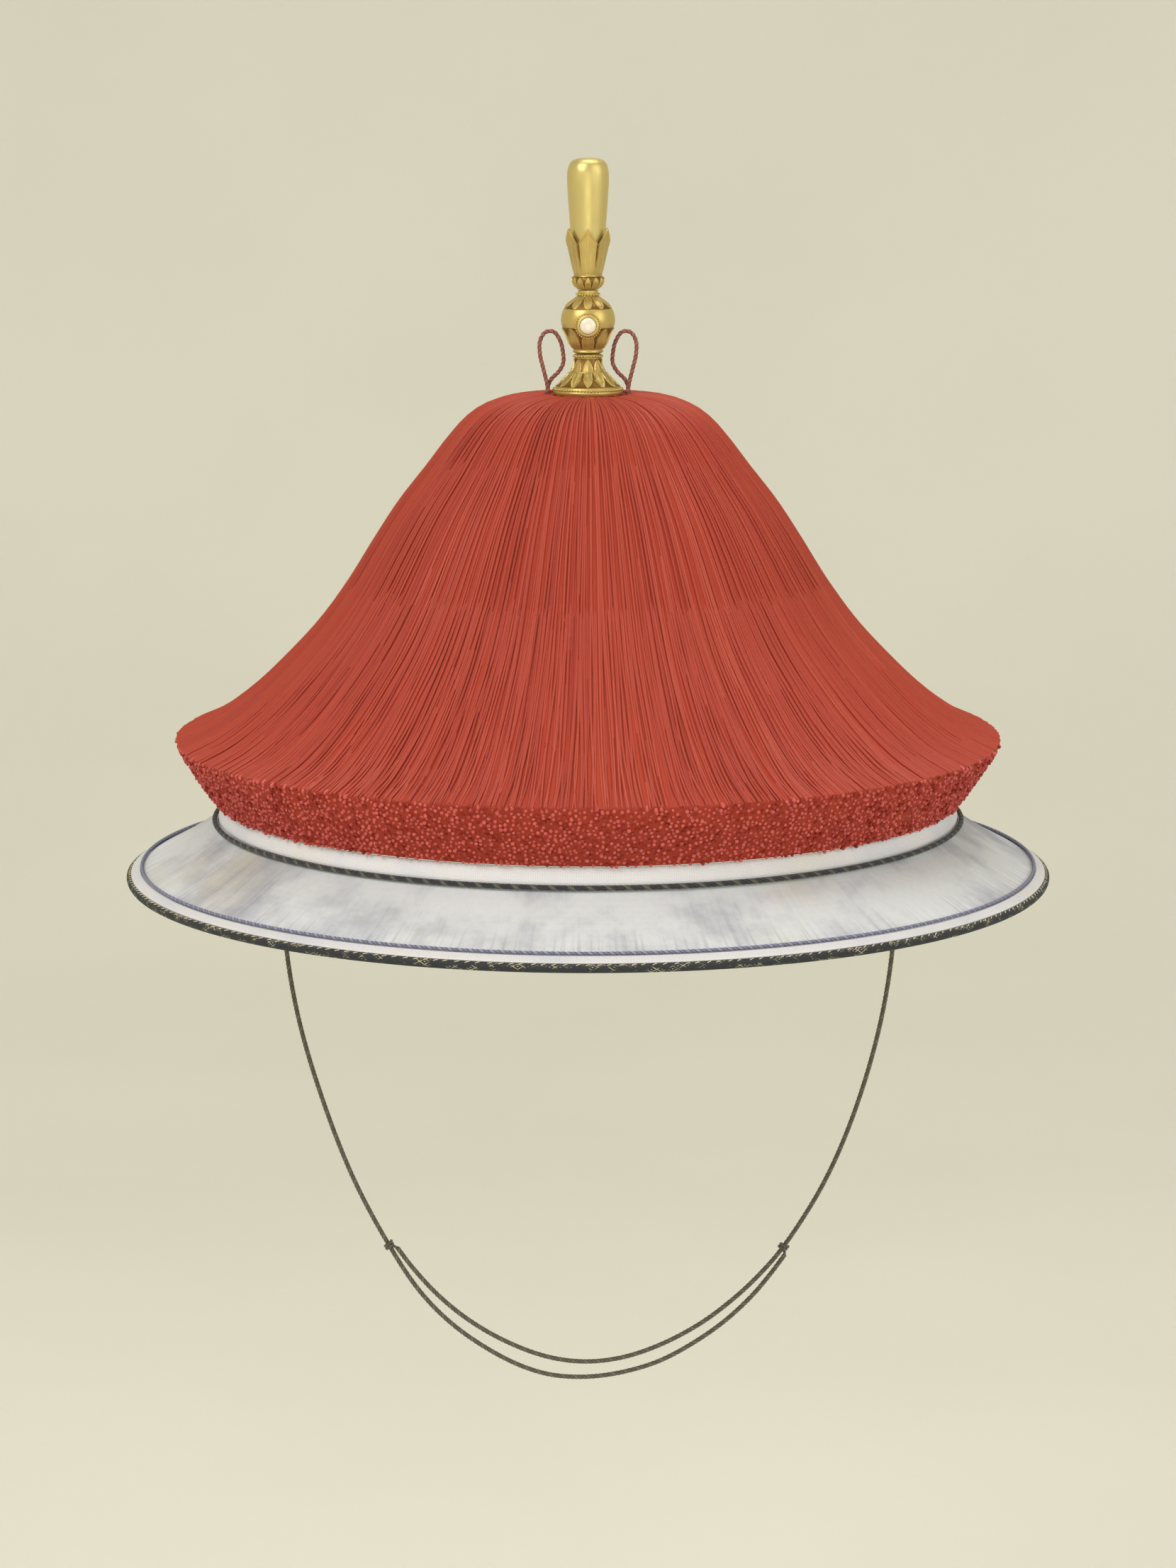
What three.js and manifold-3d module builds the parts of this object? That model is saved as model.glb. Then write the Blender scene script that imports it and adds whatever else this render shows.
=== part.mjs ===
// A summer court hat: a straw crown and brim with a bound rim, under a bell of red silk threads,
// topped by a gilt finial with a crystal, and worn with a chin cord on two slip knots.
// Millimetres, +Z up. The wearer faces -Y.
import * as THREE from "three";
import { mergeVertices } from "three/addons/utils/BufferGeometryUtils.js";
import Module from "manifold-3d";

// Heights are measured up from a level just below the rim. The hat is then lowered by
// SEAT_HEIGHT, so that the level at which it sits on a head is z = 0.
const SEAT_HEIGHT = 52;
const GAP = 0.3;

// The straw crown and brim. The brim's last height is the foot of a short upright riser,
// which ends at the crown's first.
const STRAW_WALL = 1.4;
const STRAW_COLUMNS = 44;
const BRIM = [
  { radius: 149.0, height: 3.4 },
  { radius: 134.8, height: 10.9 },
  { radius: 118.8, height: 21.0 },
];
const CROWN = [
  { radius: 117.6, height: 27.4 },
  { radius: 111.2, height: 33.0 },
  { radius: 100.2, height: 43.2 },
  { radius: 89.4, height: 57.5 },
  { radius: 80.0, height: 72.0 },
  { radius: 69.6, height: 90.0 },
  { radius: 60.5, height: 107.5 },
  { radius: 50.8, height: 124.0 },
  { radius: 42.7, height: 135.8 },
  { radius: 32.5, height: 146.3 },
  { radius: 18.0, height: 153.0 },
  { radius: 8.0, height: 154.6 },
];
const CROWN_STEPS = 8;
const POST_HOLE = 2.2;

// Trim on the brim and the riser
const BAND_THICKNESS = 0.7;
const CROWN_PIPING = { radius: 0.8, sides: 5 };
const TAPE = { inner: 4.7, outer: 1.4, thickness: 0.45 };
const RIM_PIPING = { radius: 0.55, sides: 4 };
const BINDING = { lip: 1.1, thickness: 0.4, edge: 0.85 };

// The silk fringe
const FRINGE_COLUMNS = 64;
const FRINGE_STEPS = 9;
const FRINGE_CLEARANCE = 0.5;
const LOCK_DEPTH = 0.8;
const LOCK_START = 20;
const FRINGE_TOP = [
  { radius: 14.0, height: 157.3 },
  { radius: 25.0, height: 156.3 },
  { radius: 32.5, height: 153.9 },
  { radius: 38.5, height: 149.9 },
  { radius: 44.5, height: 143.3 },
  { radius: 52.0, height: 133.5 },
  { radius: 60.4, height: 122.8 },
  { radius: 68.3, height: 110.8 },
  { radius: 76.8, height: 97.2 },
  { radius: 86.0, height: 84.6 },
  { radius: 96.5, height: 73.2 },
  { radius: 109.0, height: 61.4 },
  { radius: 122.0, height: 52.2 },
  { radius: 132.6, height: 47.4 },
];
const FRINGE_CUT = [
  { radius: 130.2, height: 43.0 },
  { radius: 125.4, height: 35.6 },
  { radius: 119.8, height: 27.8 },
];

// The finial. Its heights are measured up from its foot, which stands on the fringe.
const FINIAL_FOOT = FRINGE_TOP[0].height + GAP;
const FINIAL_COLUMNS = 24;
const BORE_RADIUS = 1.9;
const BASE = [
  { radius: 11.0, height: 0.0 },
  { radius: 11.0, height: 1.6 },
  { radius: 10.2, height: 2.8 },
  { radius: 8.9, height: 3.4 },
  { radius: 7.7, height: 5.0 },
  { radius: 5.6, height: 7.4 },
  { radius: 4.2, height: 12.7 },
];
const BASE_PETALS = { count: 12, depth: 0.5, rows: [4] };
const BULB = [
  { radius: 4.0, height: 13.0 },
  { radius: 4.7, height: 14.1 },
  { radius: 6.0, height: 15.8 },
  { radius: 7.4, height: 19.4 },
  { radius: 8.7, height: 23.0 },
  { radius: 7.9, height: 26.6 },
  { radius: 5.8, height: 29.2 },
  { radius: 3.3, height: 30.8 },
  { radius: 3.2, height: 33.0 },
];
const BULB_PETALS = { count: 6, depth: 0.45, rows: [1, 2, 3] };
const CRYSTAL = { radius: 2.6, height: 22.2, seat: 8.0, rim: 9.2, crown: 10.3 };
const BEZEL_WALL = 0.6;
const CUP = [
  { radius: 3.4, height: 33.3 },
  { radius: 4.9, height: 35.4 },
  { radius: 4.9, height: 36.9 },
  { radius: 4.6, height: 38.0 },
];
const CUP_VALLEY = { outer: 6.2, inner: 5.7, height: 48.2 };
const CUP_TIP = { outer: 7.0, inner: 6.5, height: 52.4 };
const CUP_PETALS = 6;
const CUP_FLOOR = { radius: 4.4, height: 39.2 };
const GOLD_TIP = [
  { radius: 3.9, height: 39.5 },
  { radius: 5.2, height: 48.0 },
  { radius: 6.0, height: 57.0 },
  { radius: 6.65, height: 68.5 },
  { radius: 5.7, height: 72.8 },
  { radius: 3.4, height: 74.3 },
];
const GOLD_TIP_TOP = 74.6;
const POST = { rod: 1.5, top: 46, nut: 7, nutHeight: 1.9, stub: 2.6, stubLength: 2.2 };

// The two red cord loops beside the finial: the right-hand one, centre line
const LOOP_CORD_RADIUS = 0.7;
const LOOP_SIDES = 6;
const LOOP_STEPS = 20;
const LOOP_ROUTE = [
  { x: 12.8, y: -0.85, height: FINIAL_FOOT },
  { x: 13.0, y: -0.8, height: 160.5 },
  { x: 14.2, y: -0.6, height: 165.5 },
  { x: 15.3, y: -0.3, height: 170.2 },
  { x: 15.3, y: 0.0, height: 174.4 },
  { x: 13.6, y: 0.0, height: 177.2 },
  { x: 11.0, y: 0.0, height: 177.4 },
  { x: 9.0, y: 0.0, height: 174.8 },
  { x: 8.0, y: 0.2, height: 171.0 },
  { x: 7.9, y: 0.4, height: 167.4 },
  { x: 9.4, y: 0.6, height: 164.6 },
  { x: 11.6, y: 0.8, height: 162.4 },
  { x: 12.7, y: 0.9, height: 160.2 },
  { x: 12.8, y: 0.9, height: FINIAL_FOOT },
];

// The chin cord: each half runs from its tab inside the crown, down and round under the chin,
// and ends at the slip knot on the other half. Both lie in the plane y = 0.
const CORD_RADIUS = 0.8;
const CORD_SIDES = 8;
const CORD_STEPS = 40;
const CORD_LEFT = [
  { x: -101.5, height: 34.7 },
  { x: -99.9, height: 8.0 },
  { x: -98.8, height: -21.7 },
  { x: -95.1, height: -46.2 },
  { x: -88.3, height: -71.5 },
  { x: -77.8, height: -100.5 },
  { x: -65.8, height: -124.3 },
  { x: -55.8, height: -140.0 },
  { x: -45.7, height: -150.8 },
  { x: -34.3, height: -159.3 },
  { x: -22.9, height: -165.5 },
  { x: -12.6, height: -168.8 },
  { x: -1.2, height: -169.6 },
  { x: 10.3, height: -168.2 },
  { x: 22.7, height: -164.5 },
  { x: 33.0, height: -158.7 },
  { x: 44.5, height: -151.2 },
  { x: 53.8, height: -142.3 },
  { x: 60.2, height: -134.4 },
  { x: 65.2, height: -127.4 },
];
const CORD_RIGHT = [
  { x: 102.0, height: 34.7 },
  { x: 100.4, height: 8.0 },
  { x: 99.6, height: -23.2 },
  { x: 95.1, height: -52.3 },
  { x: 86.4, height: -82.5 },
  { x: 77.1, height: -104.3 },
  { x: 64.6, height: -124.8 },
  { x: 57.4, height: -133.6 },
  { x: 48.6, height: -142.3 },
  { x: 37.2, height: -151.2 },
  { x: 23.7, height: -158.6 },
  { x: 11.2, height: -162.9 },
  { x: -1.2, height: -164.3 },
  { x: -13.6, height: -162.6 },
  { x: -27.1, height: -157.4 },
  { x: -39.5, height: -150.0 },
  { x: -49.8, height: -141.3 },
  { x: -58.2, height: -131.8 },
  { x: -63.2, height: -125.0 },
];
const KNOT = { radius: 1.9, bore: 1.1, half: 1.5, sides: 12 };
const KNOT_LEFT_ROW = 6;
const KNOT_RIGHT_ROW = 6;
const TAB = { foot: 35, head: 40.6, depth: 6.5, lip: 1.3, width: 9, clearance: 0.65 };

const material = (color, roughness, metalness = 0) =>
  new THREE.MeshStandardMaterial({ color, roughness, metalness });
const SILK_RED = material(0xb04434, 0.55);
const GAUZE_WHITE = material(0xdcdcdf, 0.75);
const TAPE_WHITE = material(0xe9eaf0, 0.7);
const BROCADE_BLUE = material(0x2c3440, 0.6);
const PIPING_BLUE = material(0x8b8fae, 0.6);
const GILT = material(0xc9a44e, 0.35, 0.9);
const CRYSTAL_WHITE = material(0xf4ecd8, 0.1);
const IRON = material(0x8f7a46, 0.5, 0.8);
const CORD_RED = material(0x8a4a3c, 0.7);
const CORD_GREY = material(0x6a6558, 0.8);

const wasm = await Module();
wasm.setup();

const point = (row) => new THREE.Vector2(row.radius, row.height);

// Points at even distances along a smooth curve through a table's rows.
function smooth(rows, steps) {
  return new THREE.SplineCurve(rows.map(point)).getSpacedPoints(steps);
}

// A line of sections moved sideways by a distance, to its left as it runs.
function moved(line, distance) {
  return line.map((at, i) => {
    const before = line[Math.max(i - 1, 0)];
    const after = line[Math.min(i + 1, line.length - 1)];
    const along = after.clone().sub(before).normalize();
    return new THREE.Vector2(at.x - along.y * distance, at.y + along.x * distance);
  });
}

// A solid turned about the Z axis from a closed outline. Its points run up the outside and
// down the inside. carve(angle, row, place) may move a point in or out and up or down.
function turned(outline, columns, carve) {
  const onAxis = outline[0].x === 0;
  const loop = onAxis ? outline : [...outline, outline[0]];
  const geometry = new THREE.LatheGeometry(loop, columns);
  geometry.rotateX(Math.PI / 2);
  if (!carve) return geometry;
  const at = geometry.attributes.position;
  for (let i = 0; i < at.count; i++) {
    const column = Math.floor(i / loop.length) % columns;
    const row = (i % loop.length) % outline.length;
    const angle = (column / columns) * 2 * Math.PI;
    const place = carve(angle, row, outline[row]);
    const turn = new THREE.Vector2(at.getX(i), at.getY(i)).normalize();
    at.setXYZ(i, turn.x * place.x, turn.y * place.x, place.y);
  }
  return geometry;
}

// A tube with closed ends along a smooth curve through 3D points.
function tube(points, radius, sides, steps) {
  const section = new THREE.Shape();
  for (let i = 0; i < sides; i++) {
    const angle = (i / sides) * 2 * Math.PI;
    section[i ? "lineTo" : "moveTo"](radius * Math.cos(angle), radius * Math.sin(angle));
  }
  return new THREE.ExtrudeGeometry(section, {
    extrudePath: new THREE.CatmullRomCurve3(points, false, "centripetal"),
    steps,
    bevelEnabled: false,
  });
}

// A closed geometry as a solid that can be joined and cut, and the way back.
function solid(geometry) {
  const bare = geometry.index ? geometry.toNonIndexed() : geometry.clone();
  for (const name of ["normal", "uv"]) bare.deleteAttribute(name);
  const merged = mergeVertices(bare, 1e-4);
  return new wasm.Manifold(
    new wasm.Mesh({
      numProp: 3,
      vertProperties: new Float32Array(merged.attributes.position.array),
      triVerts: new Uint32Array(merged.index.array),
    }),
  );
}

function geometryOf(made) {
  const { vertProperties, triVerts } = made.getMesh();
  return new THREE.BufferGeometry()
    .setAttribute("position", new THREE.BufferAttribute(vertProperties, 3))
    .setIndex(new THREE.BufferAttribute(triVerts, 1));
}

const hat = new THREE.Group();
hat.position.z = -SEAT_HEIGHT;

function add(name, geometry, finish, parent = hat) {
  const mesh = new THREE.Mesh(geometry, finish);
  mesh.name = name;
  parent.add(mesh);
  return mesh;
}

const brimLine = BRIM.map(point);
const crownLine = smooth(CROWN, CROWN_STEPS);
const crownTop = crownLine[crownLine.length - 1];
const ceiling = crownTop.y - STRAW_WALL;
const outerWall = [...brimLine, ...crownLine];
const innerWall = moved(outerWall, STRAW_WALL);
const seam = brimLine.length;

// The inner wall's distance from the axis at a height.
function wallRadius(height) {
  const above = innerWall.findIndex((at) => at.y > height);
  const [low, high] = [innerWall[above - 1], innerWall[above]];
  return THREE.MathUtils.mapLinear(height, low.y, high.y, low.x, high.x);
}

// The flared brim with its riser, up to the seam under the foot of the crown.
function brim() {
  const below = (line) => [...line.slice(0, seam), line[seam].clone().sub(new THREE.Vector2(0, GAP))];
  return turned([...below(outerWall), ...below(innerWall).toReversed()], STRAW_COLUMNS);
}

// The bell-shaped crown, with a hole for the post.
function crown() {
  const hole = [new THREE.Vector2(POST_HOLE, crownTop.y), new THREE.Vector2(POST_HOLE, ceiling)];
  return turned([...outerWall.slice(seam), ...hole, ...innerWall.slice(seam).toReversed()], STRAW_COLUMNS);
}

// A place on the brim's outer edge: out along the slope, and up square to it.
const edge = brimLine[0];
const slope = edge.clone().sub(brimLine[1]).normalize();
const atEdge = (out, up) =>
  new THREE.Vector2(edge.x + slope.x * out - slope.y * up, edge.y + slope.y * out + slope.x * up);

// Brocade folded over the rim, with its lips on both faces of the straw.
function rimBinding() {
  const { lip, thickness, edge: out } = BINDING;
  const top = GAP + thickness;
  const outline = [
    atEdge(-lip, -STRAW_WALL - top),
    atEdge(out - thickness, -STRAW_WALL - top),
    atEdge(out, -STRAW_WALL / 2),
    atEdge(out - thickness, top),
    atEdge(-lip, top),
    atEdge(-lip, GAP),
    atEdge(GAP, GAP),
    atEdge(GAP, -STRAW_WALL - GAP),
    atEdge(-lip, -STRAW_WALL - GAP),
  ];
  return turned(outline, STRAW_COLUMNS);
}

// The white tape inside the binding.
function rimTape() {
  const low = GAP;
  const high = GAP + TAPE.thickness;
  const outside = [atEdge(-TAPE.outer, low), atEdge(-TAPE.outer, high)];
  const inside = [atEdge(-TAPE.inner, high), atEdge(-TAPE.inner, low)];
  return turned([...outside, ...inside], STRAW_COLUMNS);
}

// A thin cord laid round the hat.
function piping(centre, { radius, sides }) {
  const outline = [];
  for (let i = 0; i < sides; i++) {
    const angle = (i / sides) * 2 * Math.PI;
    outline.push(new THREE.Vector2(centre.x + radius * Math.cos(angle), centre.y + radius * Math.sin(angle)));
  }
  return turned(outline, STRAW_COLUMNS);
}

// The white band on the riser, between the piping and the fringe.
const riser = [brimLine[brimLine.length - 1], crownLine[0]];
function crownBand() {
  const [foot, head] = moved(riser, -GAP);
  const [footOut, headOut] = moved(riser, -GAP - BAND_THICKNESS);
  const lift = new THREE.Vector2(0, GAP + CROWN_PIPING.radius / 2);
  const drop = new THREE.Vector2(0, -GAP);
  return turned([footOut.add(lift), headOut.add(drop), head.add(drop), foot.add(lift)], STRAW_COLUMNS);
}

// The bell of silk: its upper face in shallow locks, its slanting cut end, and a hollow
// that follows the straw.
function fringe() {
  const top = smooth(FRINGE_TOP, FRINGE_STEPS);
  const cut = FRINGE_CUT.map(point);
  const inside = moved(crownLine, -FRINGE_CLEARANCE);
  const outside = [...cut.reverse(), ...top.reverse()];
  const hole = [
    new THREE.Vector2(POST_HOLE, FRINGE_TOP[0].height),
    new THREE.Vector2(POST_HOLE, crownTop.y + FRINGE_CLEARANCE),
  ];
  const outline = [...outside, ...hole, ...inside.reverse()];
  const longest = FRINGE_TOP[FRINGE_TOP.length - 1].radius;
  const locks = FRINGE_COLUMNS / 2;
  return turned(outline, FRINGE_COLUMNS, (angle, row, place) => {
    const onTop = row >= cut.length && row < outside.length;
    const spread = onTop ? Math.max(place.x - LOCK_START, 0) / (longest - LOCK_START) : 0;
    const share = row < cut.length ? row / cut.length : spread;
    return new THREE.Vector2(place.x + LOCK_DEPTH * share * Math.cos(angle * locks), place.y);
  });
}

const finial = new THREE.Group();
finial.position.z = FINIAL_FOOT;
hat.add(finial);

// A finial piece is threaded on the post.
function threaded(rows) {
  const outside = rows.map(point);
  const [low, high] = [outside[0].y, outside[outside.length - 1].y];
  return [...outside, new THREE.Vector2(BORE_RADIUS, high), new THREE.Vector2(BORE_RADIUS, low)];
}

// A threaded piece with a ring of petals raised on some of its rows.
function petalled(rows, petals) {
  return turned(threaded(rows), FINIAL_COLUMNS, (angle, row, place) => {
    const raised = petals.rows.includes(row) ? petals.depth * Math.cos(angle * petals.count) : 0;
    return new THREE.Vector2(place.x + raised, place.y);
  });
}

// A round piece on a level axis that points forwards, to -Y.
function facing(outline, columns) {
  return turned(outline, columns).rotateX(Math.PI / 2).translate(0, 0, CRYSTAL.height);
}

// The bulb, with lotus petals below and a bezel in front.
function finialBulb() {
  const bulb = petalled(BULB, BULB_PETALS);
  const collar = CRYSTAL.radius + GAP + BEZEL_WALL;
  const bezel = facing(disc(collar, CRYSTAL.seat - 2, CRYSTAL.rim), FINIAL_COLUMNS / 2);
  const socket = facing(disc(CRYSTAL.radius + GAP, CRYSTAL.seat - GAP, CRYSTAL.rim + 1), FINIAL_COLUMNS / 2);
  return geometryOf(solid(bulb).add(solid(bezel)).subtract(solid(socket)));
}

// The outline of a disc about the axis, between two heights.
function disc(radius, low, high) {
  return [
    new THREE.Vector2(0, low),
    new THREE.Vector2(radius, low),
    new THREE.Vector2(radius, high),
    new THREE.Vector2(0, high),
  ];
}

// A smooth domed crystal in the bezel.
function crystal() {
  const rise = CRYSTAL.crown - CRYSTAL.rim;
  const dome = [0, 1, 2].map((i) => {
    const angle = (i / 3) * (Math.PI / 2);
    return new THREE.Vector2(CRYSTAL.radius * Math.cos(angle), CRYSTAL.rim + rise * Math.sin(angle));
  });
  const outline = [
    new THREE.Vector2(0, CRYSTAL.seat),
    new THREE.Vector2(CRYSTAL.radius, CRYSTAL.seat),
    ...dome,
    new THREE.Vector2(0, CRYSTAL.crown),
  ];
  return facing(outline, FINIAL_COLUMNS / 2);
}

// The cup of pointed petals that holds the gold tip.
function petalCup() {
  const outside = CUP.map(point);
  const outline = [
    ...outside,
    new THREE.Vector2(CUP_TIP.outer, CUP_TIP.height),
    new THREE.Vector2(CUP_TIP.inner, CUP_TIP.height),
    point(CUP_FLOOR),
    new THREE.Vector2(BORE_RADIUS, CUP_FLOOR.height),
    new THREE.Vector2(BORE_RADIUS, outside[0].y),
  ];
  const faces = { [outside.length]: "outer", [outside.length + 1]: "inner" };
  return turned(outline, FINIAL_COLUMNS, (angle, row, place) => {
    const face = faces[row];
    if (!face) return place;
    const share = (1 - Math.cos(angle * CUP_PETALS)) / 2;
    return new THREE.Vector2(
      THREE.MathUtils.lerp(CUP_VALLEY[face], CUP_TIP[face], share),
      THREE.MathUtils.lerp(CUP_VALLEY.height, CUP_TIP.height, share),
    );
  });
}

function goldTip() {
  const bored = POST.top + GAP;
  const outline = [
    new THREE.Vector2(0, bored),
    new THREE.Vector2(BORE_RADIUS, bored),
    new THREE.Vector2(BORE_RADIUS, GOLD_TIP[0].height),
    ...GOLD_TIP.map(point),
    new THREE.Vector2(0, GOLD_TIP_TOP),
  ];
  return turned(outline, FINIAL_COLUMNS);
}

// The hidden rod through the finial and the crown, with its nut inside.
function finialPost() {
  const nutTop = ceiling - GAP - FINIAL_FOOT;
  const nutBottom = nutTop - POST.nutHeight;
  const bottom = nutBottom - POST.stubLength;
  const outline = [
    new THREE.Vector2(0, bottom),
    new THREE.Vector2(POST.stub, bottom),
    new THREE.Vector2(POST.stub, nutBottom),
    new THREE.Vector2(POST.nut, nutBottom),
    new THREE.Vector2(POST.nut, nutTop),
    new THREE.Vector2(POST.rod, nutTop),
    new THREE.Vector2(POST.rod, POST.top),
    new THREE.Vector2(0, POST.top),
  ];
  return turned(outline, FINIAL_COLUMNS / 2);
}

// side is 1 on the right and -1 on the left.
function cordLoop(side) {
  const route = LOOP_ROUTE.map((row) => new THREE.Vector3(side * row.x, row.y, row.height));
  return tube(route, LOOP_CORD_RADIUS, LOOP_SIDES, LOOP_STEPS);
}

const cordRoute = (rows) => rows.map((row) => new THREE.Vector3(row.x, 0, row.height));

// A slip knot round the passing cord: a short barrel along the cord's run at one of its rows.
function slipKnot(rows, row) {
  const [before, at, after] = cordRoute(rows.slice(row - 1, row + 2));
  const run = after.sub(before).normalize();
  const outline = [
    new THREE.Vector2(KNOT.radius, -KNOT.half),
    new THREE.Vector2(KNOT.radius, KNOT.half),
    new THREE.Vector2(KNOT.bore, KNOT.half),
    new THREE.Vector2(KNOT.bore, -KNOT.half),
  ];
  const turn = new THREE.Quaternion().setFromUnitVectors(new THREE.Vector3(0, 0, 1), run);
  return turned(outline, KNOT.sides).applyQuaternion(turn).translate(...at);
}

// The plain stitched tab that a cord end hangs from, on the inside of the crown.
function cordTab(side) {
  const foot = wallRadius(TAB.foot) - TAB.clearance;
  const head = wallRadius(TAB.head) - TAB.clearance;
  const section = new THREE.Shape([
    new THREE.Vector2(foot - TAB.depth, TAB.foot),
    new THREE.Vector2(foot, TAB.foot),
    new THREE.Vector2(head, TAB.head),
    new THREE.Vector2(head - TAB.lip, TAB.head),
  ]);
  const block = new THREE.ExtrudeGeometry(section, { depth: TAB.width, steps: 1, bevelEnabled: false });
  block.rotateX(Math.PI / 2).translate(0, TAB.width / 2, 0);
  return side > 0 ? block : block.rotateZ(Math.PI);
}

const bandFace = riser[0].x + GAP + BAND_THICKNESS;
const crownPipingAt = new THREE.Vector2(
  bandFace + GAP + CROWN_PIPING.radius,
  riser[0].y + GAP,
);
const rimPipingAt = atEdge(-TAPE.inner - GAP - RIM_PIPING.radius, GAP + RIM_PIPING.radius);

add("brim", brim(), GAUZE_WHITE);
add("crown", crown(), GAUZE_WHITE);
add("rim_binding", rimBinding(), BROCADE_BLUE);
add("rim_tape", rimTape(), TAPE_WHITE);
add("rim_piping", piping(rimPipingAt, RIM_PIPING), PIPING_BLUE);
add("crown_piping", piping(crownPipingAt, CROWN_PIPING), BROCADE_BLUE);
add("crown_band", crownBand(), TAPE_WHITE);
add("silk_fringe", fringe(), SILK_RED);
add("finial_base", petalled(BASE, BASE_PETALS), GILT, finial);
add("finial_bulb", finialBulb(), GILT, finial);
add("crystal", crystal(), CRYSTAL_WHITE, finial);
add("petal_cup", petalCup(), GILT, finial);
add("gold_tip", goldTip(), GILT, finial);
add("finial_post", finialPost(), IRON, finial);
add("cord_loop_left", cordLoop(-1), CORD_RED);
add("cord_loop_right", cordLoop(1), CORD_RED);
add("chin_cord_left", tube(cordRoute(CORD_LEFT), CORD_RADIUS, CORD_SIDES, CORD_STEPS), CORD_GREY);
add("chin_cord_right", tube(cordRoute(CORD_RIGHT), CORD_RADIUS, CORD_SIDES, CORD_STEPS), CORD_GREY);
add("slip_knot_left", slipKnot(CORD_LEFT, KNOT_LEFT_ROW), CORD_GREY);
add("slip_knot_right", slipKnot(CORD_RIGHT, KNOT_RIGHT_ROW), CORD_GREY);
add("cord_tab_left", cordTab(-1), TAPE_WHITE);
add("cord_tab_right", cordTab(1), TAPE_WHITE);

const part = new THREE.Group();
part.add(hat);
export default part;
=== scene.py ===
"""A summer court hat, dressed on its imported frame: a straw crown and brim under a bell of
red silk threads, with a bound rim, a gilt finial, two cord loops and a knotted chin cord.

Tables are in millimetres, as radius and height above a level just below the rim. Meshes
are in metres, with z = 0 at the level where the hat sits on a head. The wearer faces -Y."""
import math

import bmesh
import bpy
import numpy as np
from bpy.props import FloatProperty, FloatVectorProperty, IntProperty, PointerProperty
from bpy.types import Operator, Panel, PropertyGroup
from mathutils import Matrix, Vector


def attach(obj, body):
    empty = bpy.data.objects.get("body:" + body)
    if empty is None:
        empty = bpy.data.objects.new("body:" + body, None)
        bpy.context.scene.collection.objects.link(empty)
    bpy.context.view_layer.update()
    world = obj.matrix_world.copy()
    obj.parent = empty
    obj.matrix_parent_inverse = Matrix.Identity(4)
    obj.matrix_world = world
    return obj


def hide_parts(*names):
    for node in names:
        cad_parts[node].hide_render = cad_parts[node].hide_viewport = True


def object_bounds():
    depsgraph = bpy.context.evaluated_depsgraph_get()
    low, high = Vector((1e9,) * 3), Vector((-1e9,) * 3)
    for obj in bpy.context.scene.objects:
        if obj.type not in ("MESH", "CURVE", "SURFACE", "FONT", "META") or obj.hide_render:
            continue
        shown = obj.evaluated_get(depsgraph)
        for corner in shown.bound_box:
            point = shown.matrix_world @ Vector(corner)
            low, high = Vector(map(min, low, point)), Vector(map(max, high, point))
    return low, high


bl_info = {
    "name": "Summer court hat",
    "version": (1, 0, 0),
    "blender": (4, 5, 0),
    "location": "3D View > Sidebar > Court hat",
    "description": "Makes the pieces and finishes of a summer court hat",
    "category": "Object",
}

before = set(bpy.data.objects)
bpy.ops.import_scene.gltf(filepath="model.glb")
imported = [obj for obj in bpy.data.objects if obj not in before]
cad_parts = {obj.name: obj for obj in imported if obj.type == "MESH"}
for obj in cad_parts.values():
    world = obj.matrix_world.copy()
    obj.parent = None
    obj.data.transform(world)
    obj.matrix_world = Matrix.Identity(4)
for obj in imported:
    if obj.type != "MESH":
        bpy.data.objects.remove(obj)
CAD_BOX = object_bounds()

MM = 0.001
SEAT_HEIGHT = 52
GAP = 0.3
BODY = "root"

# The camera looks at a point this far above the seat, through a lens on a sensor 36 high
AIM_HEIGHT = -21
LENS, SENSOR = 97, 36

# The straw: the brim with its riser, then the crown
STRAW_WALL = 1.4
BRIM = [(149.0, 3.4), (134.8, 10.9), (118.8, 21.0)]
CROWN = [
    (117.6, 27.4), (111.2, 33.0), (100.2, 43.2), (89.4, 57.5), (80.0, 72.0), (69.6, 90.0),
    (60.5, 107.5), (50.8, 124.0), (42.7, 135.8), (32.5, 146.3), (18.0, 153.0), (8.0, 154.6),
]
POST_HOLE = 2.2

# The straw's weave: strips once round, and strips a metre along the section
STRIPS_AROUND, STRIPS_ALONG = 360.0, 400.0

# Trim on the brim and the riser
BAND_THICKNESS = 0.7
CROWN_PIPING_RADIUS = 0.8
TAPE_INNER, TAPE_OUTER, TAPE_THICKNESS = 4.7, 1.4, 0.45
RIM_PIPING_RADIUS = 0.55
BINDING_LIP, BINDING_THICKNESS, BINDING_EDGE = 1.1, 0.4, 0.85
BINDING_CREEP = 0.2

# The silk fringe: its upper face, then its slanting cut end
FRINGE_TOP = [
    (14.0, 157.3), (25.0, 156.3), (32.5, 153.9), (38.5, 149.9), (44.5, 143.3), (52.0, 133.5),
    (60.4, 122.8), (68.3, 110.8), (76.8, 97.2), (86.0, 84.6), (96.5, 73.2), (109.0, 61.4),
    (122.0, 52.2), (132.6, 47.4),
]
FRINGE_CUT = [(130.2, 43.0), (125.4, 35.6), (119.8, 27.8)]
FRINGE_CLEARANCE = 0.5
CROWN_TOP = 154.6
STRAND_DEPTH, STRAND_WAVE, STRAND_TUCK = 0.38, 0.75, 1.3

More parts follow.
